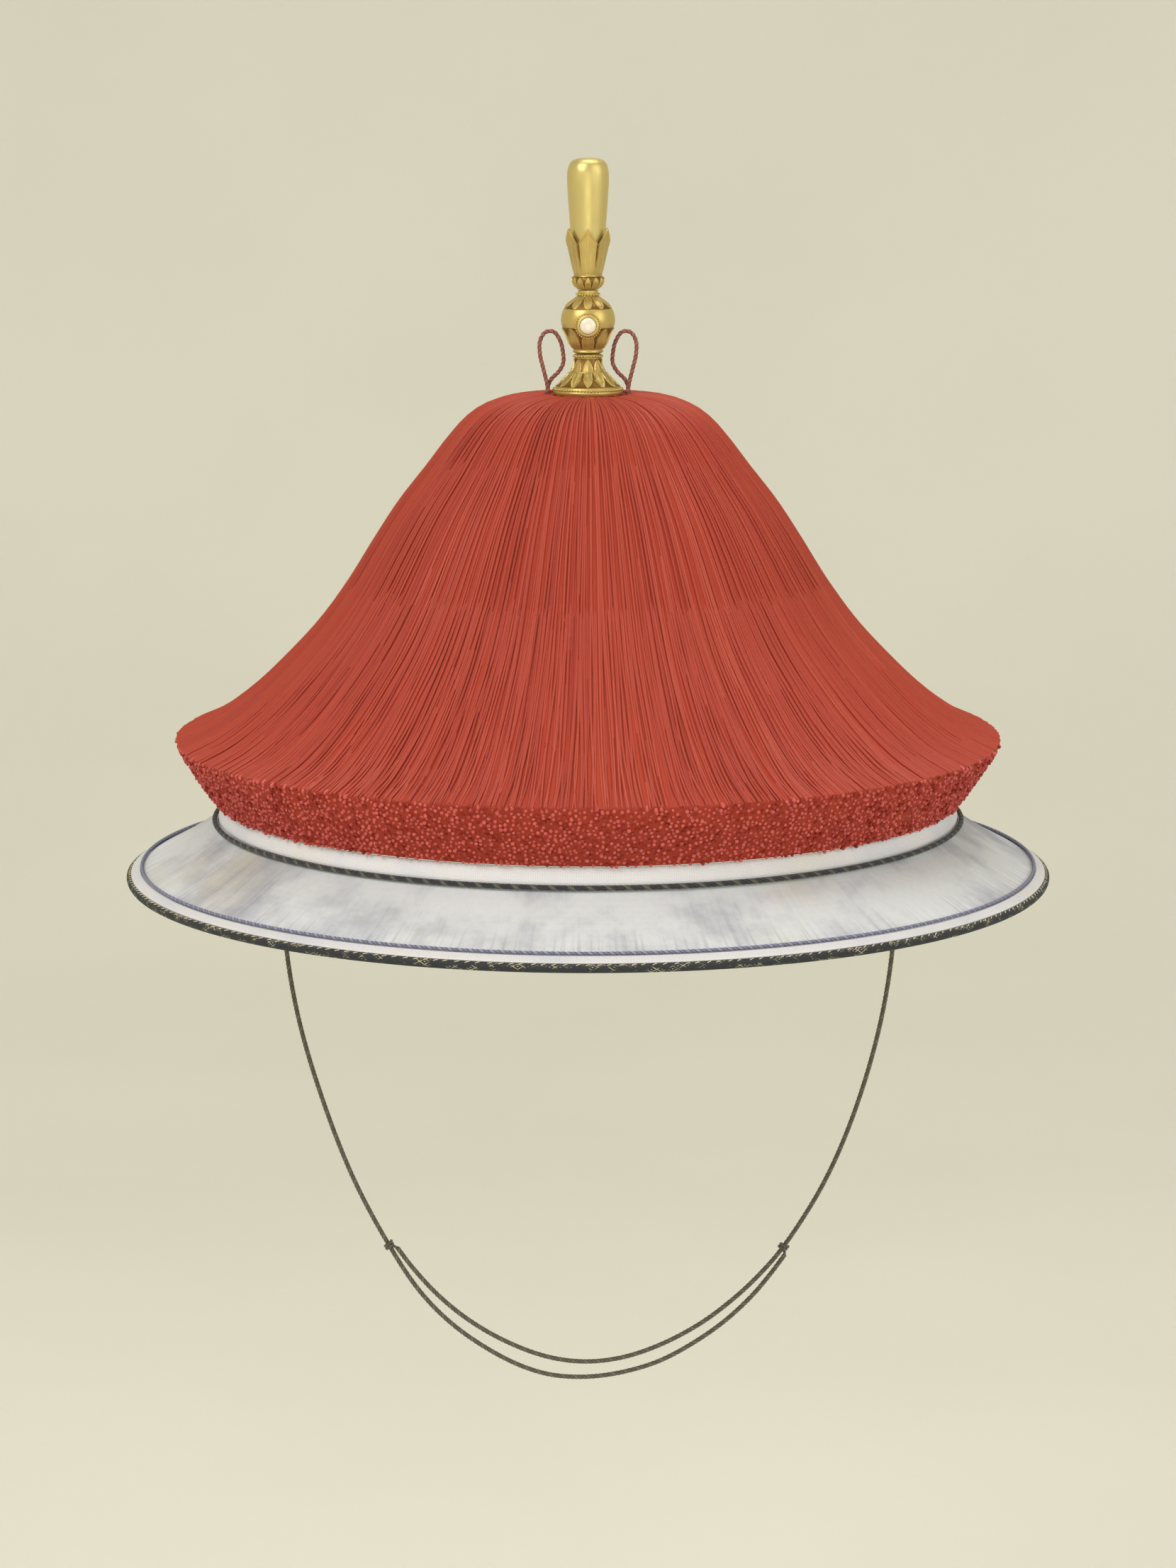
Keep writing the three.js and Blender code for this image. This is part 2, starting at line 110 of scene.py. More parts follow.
# The finial, as radius and height above its foot on the fringe
FINIAL_FOOT = FRINGE_TOP[0][1] + GAP
BORE_RADIUS = 1.9
CRYSTAL_RADIUS, CRYSTAL_HEIGHT = 2.6, 22.2
CRYSTAL_SEAT, CRYSTAL_RIM, CRYSTAL_CROWN = 8.0, 9.2, 10.3
BEZEL_WALL = 0.6
# Relief of beads, bezel and plain gilt, which sets how much painted shade the gilding gives them
BEAD_RELIEF, BEZEL_RELIEF, PLAIN_RELIEF = 0.95, 0.9, 0.85
POST_ROD, POST_TOP, POST_NUT, POST_NUT_HEIGHT, POST_STUB, POST_STUB_LENGTH = 1.5, 46, 7, 1.9, 2.6, 2.2

# The right-hand cord loop beside the finial, as x, y and height
LOOP_ROUTE = [
    (12.8, -0.85, 157.6), (13.0, -0.8, 160.5), (14.2, -0.6, 165.5), (15.3, -0.3, 170.2),
    (15.3, 0.0, 174.4), (13.6, 0.0, 177.2), (11.0, 0.0, 177.4), (9.0, 0.0, 174.8),
    (8.0, 0.2, 171.0), (7.9, 0.4, 167.4), (9.4, 0.6, 164.6), (11.6, 0.8, 162.4),
    (12.7, 0.9, 160.2), (12.8, 0.9, 157.6),
]

# The two halves of the chin cord, as x and height, each from its tab to its end on the other
CORD_LEFT = [
    (-101.5, 34.7), (-99.9, 8.0), (-98.8, -21.7), (-95.1, -46.2), (-88.3, -71.5),
    (-77.8, -100.5), (-65.8, -124.3), (-55.8, -140.0), (-45.7, -150.8), (-34.3, -159.3),
    (-22.9, -165.5), (-12.6, -168.8), (-1.2, -169.6), (10.3, -168.2), (22.7, -164.5),
    (33.0, -159.1), (44.5, -151.0), (53.8, -142.2), (60.2, -134.4), (65.2, -127.4),
]
CORD_RIGHT = [
    (102.0, 34.7), (100.4, 8.0), (99.6, -23.2), (95.1, -52.3), (86.4, -82.5),
    (77.1, -104.3), (64.6, -124.8), (57.4, -133.6), (48.6, -142.3), (37.2, -151.2),
    (23.7, -158.6), (11.2, -162.9), (-1.2, -164.3), (-13.6, -162.6), (-27.1, -157.4),
    (-39.5, -150.0), (-49.8, -141.3), (-58.2, -131.8), (-63.2, -125.0),
]

# Each slip knot sits at this row of its half, wound from a thinner cord
KNOT_ROW = 6
KNOT_CORD_RADIUS = 0.5
KNOT_TURNS = 2

# A tab's weave is as fine as that of a band this far round, in metres
TAB_LAP = 0.65

# How far a ply runs along a cord in one turn
RIM_PIPING_PITCH, CROWN_PIPING_PITCH = 3.2, 5.6
CHIN_PITCH, KNOT_PITCH, LOOP_PITCH = 4.2, 3.0, 3.0

# Fixed colours of shaders; the two groove colours are painted shade
CORD_GROOVE_SHADE = (0.012, 0.01, 0.012, 1.0)
CORD_FLECK = (0.6, 0.58, 0.56, 1.0)
BROCADE_GROOVE_SHADE = (0.008, 0.008, 0.012, 1.0)


def paint(red, green, blue):
    """A screen colour, from 0 to 255 a channel, as the linear colour that shaders use."""
    shares = [channel / 255 for channel in (red, green, blue)]
    linear = [s / 12.92 if s <= 0.04045 else ((s + 0.055) / 1.055) ** 2.4 for s in shares]
    return (*linear, 1.0)


def dimmed(colour, share):
    return (*[channel * share for channel in colour[:3]], 1.0)


# Settings


def length_setting(name, description, millimetres, low=0.0):
    return FloatProperty(
        name=name, description=description, default=millimetres * MM,
        min=low, subtype="DISTANCE", unit="LENGTH",
    )


def count_setting(name, description, default, low=3):
    return IntProperty(name=name, description=description, default=default, min=low)


def colour_setting(name, description, *screen):
    return FloatVectorProperty(
        name=name, description=description, default=paint(*screen), size=4, min=0, max=1, subtype="COLOR"
    )


class HatSizes(PropertyGroup):
    """Sizes and counts that can be changed before the pieces are made"""

    camera_distance: length_setting("Camera distance", "From the hat's axis to the camera", 1350, 0.5)
    camera_height: length_setting("Camera height", "Above the level where the hat sits", 222)
    floor_drop: length_setting("Floor drop", "From the chin cord's lowest point to the floor", 300)
    columns: count_setting("Columns", "Faces round the straw, the silk and the trim", 256)
    thread: length_setting("Silk thread", "Diameter of one twisted silk thread", 1.0, 0.0002)
    long_threads: count_setting("Long threads", "Threads that start at the finial", 230)
    middle_threads: count_setting("Middle threads", "Threads that start on the crown's shoulder", 300)
    short_threads: count_setting("Short threads", "Threads that start half-way down", 640)
    end_spacing: length_setting("Spacing of cut ends", "Least distance between two cut ends", 1.32, 0.0005)
    cord: length_setting("Chin cord", "Diameter of the chin cord", 1.6, 0.0005)
    loop_cord: length_setting("Loop cord", "Diameter of the loops beside the finial", 1.4, 0.0005)
    binding_stitches: count_setting("Binding stitches", "Stitches along the brocade binding", 288)
    band_stitches: count_setting("Band stitches", "Stitches along the white tape and band", 220)


class HatColours(PropertyGroup):
    """Colours that can be changed before the pieces are made"""

    silk: colour_setting("Silk", "Main red of the fringe", 165, 59, 41)
    # The next two reds are shaded and lit copies of the silk red: painted shade and painted highlight
    silk_painted_shade: colour_setting("Silk, shaded", "Threads that lie deeper", 146, 47, 35)
    silk_painted_highlight: colour_setting("Silk, lit", "The most orange threads", 181, 76, 54)
    silk_cut: colour_setting("Silk, cut ends", "The cut ends of the threads", 202, 94, 88)
    gauze: colour_setting("Gauze", "White silk gauze on the straw", 213, 218, 223)
    # The blue-grey clouds are painted shade
    gauze_shade: colour_setting("Gauze, shaded", "Blue-grey clouds in the gauze", 158, 163, 178)
    gauze_warm: colour_setting("Gauze, warm", "Faint beige clouds in the gauze", 200, 196, 182)
    straw: colour_setting("Straw", "Woven straw on the inside", 206, 180, 124)
    straw_dark: colour_setting("Straw, shaded", "Darker strips of the straw", 160, 128, 76)
    white_silk: colour_setting("White silk", "Tape, band and tabs", 237, 236, 239)
    brocade: colour_setting("Brocade", "Ground of the binding and the crown piping", 50, 54, 58)
    brocade_gold: colour_setting("Brocade gold", "Metal thread in the brocade", 202, 194, 158)
    piping: colour_setting("Rim piping", "The thin blue-grey cord on the brim", 126, 129, 158)
    chin_cord: colour_setting("Chin cord", "Dark grey-brown twist", 102, 98, 86)
    loop_cord: colour_setting("Loop cord", "Red-brown loops beside the finial", 156, 96, 82)
    gold: colour_setting("Gold", "The smooth gold tip", 208, 189, 122)
    gilt: colour_setting("Gilt", "The worked pieces of the finial", 198, 174, 104)
    # The dark of the hollows is painted shade
    gilt_hollow_shade: colour_setting("Gilt, hollows", "Dark of the hollows between petals", 124, 88, 40)
    crystal: colour_setting("Crystal", "The stone in the bulb", 238, 226, 203)
    post: colour_setting("Post", "Hidden brass rod and nut", 128, 108, 62)
    floor: colour_setting("Floor", "Floor and backdrop", 229, 227, 216)


# Lines


def level(height):
    """A height above the rim in millimetres, as z in metres."""
    return (height - SEAT_HEIGHT) * MM


def section(rows, foot=0.0):
    """Rows of radius and height in millimetres, as points in metres."""
    return np.array([(radius * MM, level(height + foot)) for radius, height in rows])


def smooth_line(points, count, tension=0.5):
    """Evenly spaced points on a smooth curve through a few points.

    At tension 0.5 the curve stays close to uneven points, at 0 it is the widest."""
    points = np.asarray(points, dtype=float)
    padded = np.vstack([2 * points[0] - points[1], points, 2 * points[-1] - points[-2]])
    share = np.linspace(0, 1, 32, endpoint=False)[:, None]
    pieces = []
    for before, start, end, after in zip(padded, padded[1:], padded[2:], padded[3:]):
        d0, d1, d2 = (
            np.linalg.norm(b - a) ** tension for a, b in ((before, start), (start, end), (end, after))
        )
        leave = d1 * ((start - before) / d0 - (end - before) / (d0 + d1) + (end - start) / d1)
        reach = d1 * ((end - start) / d1 - (after - start) / (d1 + d2) + (after - end) / d2)
        cubic = 2 * start - 2 * end + leave + reach
        square = 3 * end - 3 * start - 2 * leave - reach
        pieces.append(start + leave * share + square * share**2 + cubic * share**3)
    return spaced(np.vstack([*pieces, points[-1:]]), count)


def run_of(line):
    """The distance along a line at each of its points."""
    steps = np.linalg.norm(np.diff(line, axis=0), axis=1)
    return np.concatenate([[0.0], np.cumsum(steps)])


def spaced(line, count):
    """The same line as a number of evenly spaced points."""
    run = run_of(line)
    places = np.linspace(0, run[-1], count)
    return np.stack([np.interp(places, run, line[:, axis]) for axis in range(line.shape[1])], axis=1)


def corners(rows, step, foot=0.0):
    """Straight runs between the rows, divided into short steps that keep the corners."""
    line = section(rows, foot)
    parts = []
    for start, end in zip(line, line[1:]):
        pieces = max(1, round(np.linalg.norm(end - start) / (step * MM)))
        parts.append(np.linspace(start, end, pieces, endpoint=False))
    return np.vstack([*parts, line[-1:]])


def moved(line, distance):
    """A section moved sideways, to the left of its run, by one distance or one at each point."""
    along = np.gradient(line, axis=0)
    along /= np.linalg.norm(along, axis=1)[:, None]
    left = np.stack([-along[:, 1], along[:, 0]], axis=1)
    return line + np.reshape(distance, (-1, 1)) * MM * left


def cut_at(line, radius):
    """The part of a section from a radius in millimetres outwards."""
    return line[line[:, 0] >= radius * MM]


BRIM_LINE = corners(BRIM, 1.2)
CROWN_LINE = smooth_line(section(CROWN), 96)
FRINGE_LINE = smooth_line(section(FRINGE_TOP), 120)
RISER = np.array([BRIM_LINE[-1], CROWN_LINE[0]])
EDGE = section(BRIM)[0]
SLOPE = (EDGE - section(BRIM)[1]) / np.linalg.norm(EDGE - section(BRIM)[1])
OFF_BRIM = np.array([-SLOPE[1], SLOPE[0]])


def at_edge(out, up):
    """A place on the brim's edge: millimetres out along the slope and up square to it."""
    return EDGE + MM * (out * SLOPE + up * OFF_BRIM)


# Meshes


def link(name, mesh):
    piece = bpy.data.objects.new(name, mesh)
    bpy.context.scene.collection.objects.link(piece)
    return piece


def skin(name, points, along, closed, sharp=38):
    """A mesh over a grid of points, rows by columns, that closes round its columns.

    u goes once round, v is metres along the rows. Rows that meet in one point are merged."""
    rows, columns = points.shape[:2]
    laps = rows if closed else rows - 1
    i, j = np.meshgrid(np.arange(laps), np.arange(columns), indexing="ij")
    below, above = i, (i + 1) % rows
    here, there = j, (j + 1) % columns
    faces = np.stack(
        [
            below * columns + here, below * columns + there,
            above * columns + there, above * columns + here,
        ],
        axis=-1,
    )
    tall = np.concatenate([along, [along[-1] + (along[1] - along[0])]])
    low, high = tall[i], tall[i + 1]
    left, right = j / columns, (j + 1) / columns
    uv = np.stack([left, low, right, low, right, high, left, high], axis=-1)
    mesh = bpy.data.meshes.new(name)
    mesh.from_pydata(points.reshape(-1, 3).tolist(), [], faces.reshape(-1, 4).tolist())
    mesh.uv_layers.new(name="UVMap").data.foreach_set("uv", uv.ravel())
    merge_poles(mesh)
    mesh.shade_smooth()
    mesh.set_sharp_from_angle(angle=math.radians(sharp))
    return link(name, mesh)


def merge_poles(mesh):
    """Merge the points that lie together, as at a pole, and close any open ring."""
    made = bmesh.new()
    made.from_mesh(mesh)
    bmesh.ops.remove_doubles(made, verts=made.verts, dist=1e-7)
    rim = [edge for edge in made.edges if edge.is_boundary]
    if rim:
        bmesh.ops.holes_fill(made, edges=rim)
    made.to_mesh(mesh)
    made.free()


def turned(name, line, columns, closed=True, carve=None, sharp=38):
    """A piece turned about the Z axis from a section that runs up outside and down inside.

    carve(angle, row, radius, height) may move each point, and gives its relief as well."""
    angle = np.arange(columns) * 2 * np.pi / columns
    radius = np.repeat(line[:, :1], columns, axis=1)
    height = np.repeat(line[:, 1:], columns, axis=1)
    if carve:
        everywhere = np.broadcast_to(angle, radius.shape)
        radius, height, relief = carve(everywhere, np.arange(len(line))[:, None], radius, height)
    points = np.stack([radius * np.cos(angle), radius * np.sin(angle), height], axis=-1)
    piece = skin(name, points, run_of(line), closed, sharp)
    if carve:
        store_relief(piece, np.clip(relief, 0, 1).ravel())
    return piece


def store_relief(piece, relief):
    """Keep how far each point stands out of the hollows, from 0 to 1, for the gilding's painted shade in the
    hollows.
    """
    store = piece.data.attributes.new("relief", "FLOAT", "POINT")
    store.data.foreach_set("value", np.broadcast_to(relief, len(store.data)))


def rope(name, path, radius, plies, pitch, depth, up, closed=False, sides=12):
    """A twisted cord along a path. Its columns follow the plies, so that u / plies is one ply.

    The path's frame takes its side from the direction up, which it never runs along."""
    path = np.asarray(path, dtype=float)
    ends = np.vstack([path[-1:], path, path[:1]]) if closed else path
    along = np.gradient(ends, axis=0)
    along = along[1:-1] if closed else along
    along /= np.linalg.norm(along, axis=1)[:, None]
    side = np.cross(along, np.asarray(up, dtype=float))
    side /= np.linalg.norm(side, axis=1)[:, None]
    top = np.cross(side, along)
    run = run_of(np.vstack([path, path[:1]]) if closed else path)
    turns = max(1, round(run[-1] / pitch)) if closed else run[-1] / pitch
    around = np.arange(sides) * 2 * np.pi / sides
    twist = around[None, :] - (run[: len(path)] / run[-1] * turns * 2 * np.pi)[:, None]
    swell = radius * (1 - depth * (1 - np.abs(np.cos(around * plies / 2))))
    ring = side[:, None, :] * np.cos(twist)[..., None] + top[:, None, :] * np.sin(twist)[..., None]
    points = path[:, None, :] + ring * swell[None, :, None]
    piece = skin(name, points, run[: len(path)], closed, sharp=80)
    fix_normals(piece.data)
    return piece


def fix_normals(mesh):
    made = bmesh.new()
    made.from_mesh(mesh)
    bmesh.ops.recalc_face_normals(made, faces=made.faces)
    made.to_mesh(mesh)
    made.free()


def ring_path(radius, height, count):
    """Points on a level ring; radius and height in metres."""
    angle = np.arange(count) * 2 * np.pi / count
    return np.stack([radius * np.cos(angle), radius * np.sin(angle), np.full(count, height)], axis=1)


def keep(piece, slot, *nodes, finish=None):
    """Finish a piece, let it ride on the hat and let it stand for the nodes it replaces."""
    if finish:
        piece.data.materials.append(finish)
    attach(piece, BODY)
    if nodes:
        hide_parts(*nodes)
    return piece


# Node trees


class Wire:
    """A node's output. Sums and products of wires add the Math nodes that make them."""

    def __init__(self, socket):
        self.socket = socket

    def __add__(self, other):
        return calculate("ADD", self, other)

    def __sub__(self, other):
        return calculate("SUBTRACT", self, other)

    def __rsub__(self, other):
        return calculate("SUBTRACT", other, self)

    def __mul__(self, other):
        return calculate("MULTIPLY", self, other)

    def __truediv__(self, other):
        return calculate("DIVIDE", self, other)


def add_node(tree, kind, inputs=None, **settings):
    """A node with its settings, and its inputs set or joined by name or number."""
    node = tree.nodes.new(kind)
    for key, value in settings.items():
        setattr(node, key, value)
    for key, value in (inputs or {}).items():
        if isinstance(value, Wire):
            tree.links.new(value.socket, node.inputs[key])
        else:
            node.inputs[key].default_value = value
    return node


def wire(tree, kind, inputs=None, output=0, **settings):
    """One output of a new node."""
    return Wire(add_node(tree, kind, inputs, **settings).outputs[output])


def joined(kind, inputs, output=0, **settings):
    """One output of a new node, in the tree that its wires come from."""
    tree = next(value.socket.id_data for value in inputs.values() if isinstance(value, Wire))
    return wire(tree, kind, inputs, output, **settings)


def calculate(operation, *values):
    return joined("ShaderNodeMath", dict(enumerate(values)), operation=operation)


def calculate_vector(operation, *values):
    return joined("ShaderNodeVectorMath", dict(enumerate(values)), operation=operation)


def scaled(vector, factor):
    return joined("ShaderNodeVectorMath", {0: vector, "Scale": factor}, operation="SCALE")


def stretched(vector, x, y, z=1.0):
    return calculate_vector("MULTIPLY", vector, (x, y, z))


def split(vector):
    """The x, y and z of a vector."""
    node = add_node(vector.socket.id_data, "ShaderNodeSeparateXYZ", {0: vector})
    return [Wire(socket) for socket in node.outputs]


def blend_values(factor, first, second):
    return joined("ShaderNodeMix", {0: factor, 2: first, 3: second})


def blend_colours(factor, first, second):
    values = {0: factor, 6: first, 7: second}
    return joined("ShaderNodeMix", values, 2, data_type="RGBA", clamp_factor=True)


def remap(value, low, high, to_low=0.0, to_high=1.0):
    values = {0: value, 1: low, 2: high, 3: to_low, 4: to_high}
    return joined("ShaderNodeMapRange", values, interpolation_type="SMOOTHSTEP")


def noise(vector, scale, detail=3.0, roughness=0.5):
    values = {"Vector": vector, "Scale": scale, "Detail": detail, "Roughness": roughness}
    return joined("ShaderNodeTexNoise", values, "Fac")


def new_group(label, kind, inputs, outputs):
    """A node group: its tree, its inputs as wires and its output sockets."""
    tree = bpy.data.node_groups.new(label, f"{kind}NodeTree")
    for way, sockets in (("INPUT", inputs), ("OUTPUT", outputs)):
        for name, sort in sockets.items():
            tree.interface.new_socket(name, in_out=way, socket_type=f"NodeSocket{sort}")
    given = tree.nodes.new("NodeGroupInput").outputs
    result = tree.nodes.new("NodeGroupOutput").inputs
    return tree, [Wire(given[name]) for name in inputs], [result[name] for name in outputs]


# Effects that materials share


def effect(label, inputs, outputs):
    """Make a function of wires a shader node group, which is built when it is first placed."""

    def wrap(build):
        def place(tree, **values):
            group = bpy.data.node_groups.get(label)
            if group is None:
                group, given, result = new_group(label, "Shader", inputs, outputs)
                for made, socket in zip(build(*given), result):
                    group.links.new(made.socket, socket)
            node = add_node(tree, "ShaderNodeGroup", values, node_tree=group)
            return [Wire(socket) for socket in node.outputs]

        return place

    return wrap


@effect(
    "Plain weave",
    {"UV": "Vector", "Around": "Float", "Along": "Float"},
    {"Height": "Float", "Over": "Float"},
)
def weave(uv, around, along):
    """The height of the threads, and which system lies on top."""
    u, v, _ = split(uv)
    x, y = u * around, v * along
    over = calculate("MODULO", calculate("ABSOLUTE", calculate("FLOOR", x) + calculate("FLOOR", y)), 2.0)
    across, down = (calculate("ABSOLUTE", calculate("SINE", turn * math.pi)) for turn in (x, y))
    upper = blend_values(over, across, down)
    lower = blend_values(over, down, across)
    return upper * (lower * 0.5 + 0.5), over


@effect(
    "Clouded colour",
    {"Place": "Vector", "Scale": "Float", "Base": "Color", "Cloud": "Color", "Patch": "Color"},
    {"Colour": "Color", "Cloud mask": "Float"},
)
def clouds(place, scale, base, cloud_colour, patch_colour):
    """Soft clouds of a second and a third colour over a first, and where the clouds are."""
    broad = noise(place, scale, 5.0, 0.6)
    apart = calculate_vector("ADD", place, (3.7, 1.9, 5.3))
    other = noise(apart, scale * 0.6, 4.0, 0.55)
    cloud = remap(broad, 0.42, 0.72)
    clouded = blend_colours(cloud, base, cloud_colour)
    return blend_colours(remap(other, 0.5, 0.78), clouded, patch_colour), cloud


@effect(
    "Twisted cord",
    {"UV": "Vector", "Plies": "Float", "Base": "Color", "Accent": "Color", "Share": "Float"},
    {"Colour": "Color", "Height": "Float"},
)
def plies(uv, count, base, accent, share):
    """A cord's colour and fibre height, from a UV map whose columns follow the plies.

    The first ply goes a share of the way to the accent colour, and the grooves between the plies are darkened
    as painted shade."""
    u, v, _ = split(uv)
    lobe = u * count
    first = calculate("LESS_THAN", calculate("FLOOR", lobe), 0.5)
    groove = calculate("ABSOLUTE", calculate("SINE", lobe * math.pi))
    fibre = calculate("SINE", u * 90.0 + v * 9000.0)
    fleck = noise(stretched(uv, 30.0, 1400.0), 1.0, 2.0)
    colour = blend_colours(first * share, base, accent)
    # Painted shade in the grooves between the plies
    dark = blend_colours(remap(groove, 0.0, 0.75, 0.72, 0.0), colour, CORD_GROOVE_SHADE)
    return blend_colours(remap(fleck, 0.55, 0.8, 0.0, 0.22), dark, CORD_FLECK), fibre + groove


@effect(
    "Gilding, shaded hollows and tarnish",
    {"Place": "Vector", "Relief": "Float", "Base": "Color", "Hollow": "Color", "Marks": "Float"},
    {"Colour": "Color", "Roughness": "Float", "Height": "Float"},
)
def gilding_with_shade_and_tarnish(place, relief, base, hollow_shade, marks):
    """Gilding with painted shade in the hollows of the relief, with tarnish and fine tool marks."""
    tarnish = noise(place, 180.0, 4.0, 0.6)
    # Painted shade in the hollows, mixed with patches of tarnish
    hollow_shade_and_tarnish = remap(1.0 - relief + tarnish * 0.35, 0.35, 1.25)
    tooled = noise(stretched(place, 1.0, 1.0, 0.35), marks, 3.0, 0.6)
    return blend_colours(hollow_shade_and_tarnish, base, hollow_shade), remap(tarnish, 0.3, 0.75, 0.32, 0.5), tooled


@effect(
    "Silk tone with painted light",
    {"Place": "Vector", "Tone": "Float", "Base": "Color", "Dark": "Color", "Light": "Color"},
    {"Colour": "Color", "Sheen mask": "Float"},
)
def silk_tone_with_painted_light(place, tone, base, dark, light):
    """Red that varies from thread to thread and in broad bands, between a shaded copy of the red, which is
    painted shade, and a lit copy, which is painted highlight.
    """
    broad = noise(stretched(place, 1.0, 1.0, 0.45), 16.0, 3.0, 0.55)
    mixed = tone * 0.5 + broad * 0.5
    shaded_red = blend_colours(remap(mixed, 0.12, 0.46, 1.0, 0.0), base, dark)
    return blend_colours(remap(mixed, 0.6, 0.98), shaded_red, light), mixed


# Materials


class Finish:
    """A material and its Principled shader, with the sockets that are the same all over."""

    def __init__(self, name, **constants):
        self.material = bpy.data.materials.new(name)
        self.material.use_nodes = True
        self.tree = self.material.node_tree
        self.shader = self.tree.nodes["Principled BSDF"]
        for label, value in constants.items():
            self.socket(label).default_value = value

    def socket(self, label):
        return self.shader.inputs[label.replace("_", " ")]

    def uv(self):
        return wire(self.tree, "ShaderNodeUVMap", uv_map="UVMap")

    def place(self):
        return wire(self.tree, "ShaderNodeTexCoord", output="Object")

    def attribute(self, name):
        return wire(self.tree, "ShaderNodeAttribute", output="Fac", attribute_name=name)

    def feed(self, **wires):
        """Join wires to the shader's sockets."""
        for label, made in wires.items():
            self.tree.links.new(made.socket, self.socket(label))

    def bump(self, height, strength, distance):
        values = {"Height": height, "Strength": strength, "Distance": distance}
        self.feed(Normal=joined("ShaderNodeBump", values))


def silk_thread(colours):
    finish = Finish(
        "Red silk thread", Specular_IOR_Level=0.35,
        Sheen_Weight=0.25, Sheen_Roughness=0.35, Sheen_Tint=paint(240, 120, 90),
    )
    place = finish.place()
    # Threads at random, and broad bands, take painted shade or a painted highlight
    colour, tone = silk_tone_with_painted_light(
        finish.tree, Place=place, Tone=finish.attribute("tone"),
        Base=colours.silk, Dark=colours.silk_painted_shade, Light=colours.silk_painted_highlight,
    )
    finish.feed(Base_Color=colour, Roughness=remap(tone, 0.2, 0.9, 0.62, 0.46))
    finish.bump(noise(place, 1500.0, 2.0), 0.25, 0.0002)
    return finish.material


def silk_cut(colours):
    finish = Finish("Cut silk ends", Roughness=0.8, Specular_IOR_Level=0.2)
    tone = finish.attribute("tone")
    # Painted shade: ends at random go to the shaded red
    dark = blend_colours(remap(tone, 0.05, 0.6, 1.0, 0.0), colours.silk_cut, colours.silk_painted_shade)
    # Painted highlight: other ends at random go to a pale pink-red
    finish.feed(Base_Color=blend_colours(remap(tone, 0.75, 1.0, 0.0, 0.6), dark, paint(208, 105, 92)))
    finish.bump(noise(finish.place(), 2200.0, 2.0), 0.5, 0.0002)
    return finish.material


def silk_ground(colours):
    """The closed body of silk that the threads lie on, with streaks of painted shade along the threads."""
    finish = Finish("Red silk body", Roughness=0.75, Specular_IOR_Level=0.2)
    lines = noise(stretched(finish.uv(), 1100.0, 6.0), 1.0)
    colour, _ = silk_tone_with_painted_light(
        finish.tree, Place=finish.place(), Tone=lines * 0.7,
        Base=colours.silk, Dark=colours.silk_painted_shade, Light=colours.silk,
    )
    finish.feed(Base_Color=colour)
    finish.bump(lines, 0.6, 0.0006)
    return finish.material


def gauze(colours):
    """Silk gauze with faint clouds of painted shade, and streaks of painted shade near the rim, over woven
    strips.
    """
    finish = Finish("Silk gauze", Sheen_Weight=0.15, Sheen_Roughness=0.5, Specular_IOR_Level=0.25)
    uv = finish.uv()
    clouded, cloud = clouds(
        finish.tree, Place=stretched(finish.place(), 1.0, 1.0, 1.4), Scale=26.0,
        Base=colours.gauze, Cloud=colours.gauze_shade, Patch=colours.gauze_warm,
    )
    threads, _ = weave(finish.tree, UV=uv, Around=1500.0, Along=1700.0)
    strips, over = weave(finish.tree, UV=uv, Around=STRIPS_AROUND, Along=STRIPS_ALONG)
    hatch = noise(stretched(uv, 520.0, 14.0), 1.0)
    near_rim = remap(split(uv)[1], 0.004, 0.02, 1.0, 0.0)
    # Painted shade: blue-grey streaks in the clouds and near the rim
    shade_streak = remap(hatch, 0.45, 0.72) * calculate("MAXIMUM", cloud, near_rim)
    shade_streaked = blend_colours(shade_streak * 0.6, clouded, paint(140, 144, 160))
    finish.feed(
        Base_Color=blend_colours(over * 0.05, shade_streaked, colours.straw),
        Roughness=remap(hatch, 0.2, 0.8, 0.7, 0.86),
    )
    finish.bump(threads + strips * 1.2, 0.35, 0.00016)
    return finish.material


def straw(colours):
    finish = Finish("Woven straw", Specular_IOR_Level=0.4)
    uv = finish.uv()
    strips, over = weave(finish.tree, UV=uv, Around=STRIPS_AROUND, Along=STRIPS_ALONG)
    fibre = noise(stretched(uv, 700.0, 900.0), 1.0, 4.0)
    uneven = noise(stretched(uv, 180.0, 40.0), 1.0, 2.0)
    shade = over * 0.25 + remap(uneven, 0.35, 0.8)
    finish.feed(
        Base_Color=blend_colours(shade, colours.straw, colours.straw_dark),
        Roughness=remap(fibre, 0.2, 0.8, 0.45, 0.68),
    )
    finish.bump(strips + fibre * 0.3, 0.8, 0.0005)
    return finish.material


def ribbed_silk(colours, name, light=1.0):
    """Ribbed white silk with painted shade between the ribs, greyer where light is below 1, which is painted
    shade as well.
    """
    finish = Finish(name, Sheen_Weight=0.2, Sheen_Roughness=0.4, Specular_IOR_Level=0.3)
    ribs, _ = weave(finish.tree, UV=finish.uv(), Around=1100.0, Along=2200.0)
    clouded, _ = clouds(
        finish.tree, Place=finish.place(), Scale=40.0, Base=dimmed(colours.white_silk, light),
        Cloud=dimmed(paint(224, 226, 234), light), Patch=dimmed(paint(236, 233, 226), light),
    )
    # Painted shade between the ribs
    between = remap(ribs, 0.0, 0.6, 0.35, 0.0)
    finish.feed(
        Base_Color=blend_colours(between, clouded, dimmed(paint(176, 180, 194), light)),
        Roughness=remap(ribs, 0.0, 1.0, 0.72, 0.52),
    )
    finish.bump(ribs, 0.55, 0.0002)
    return finish.material


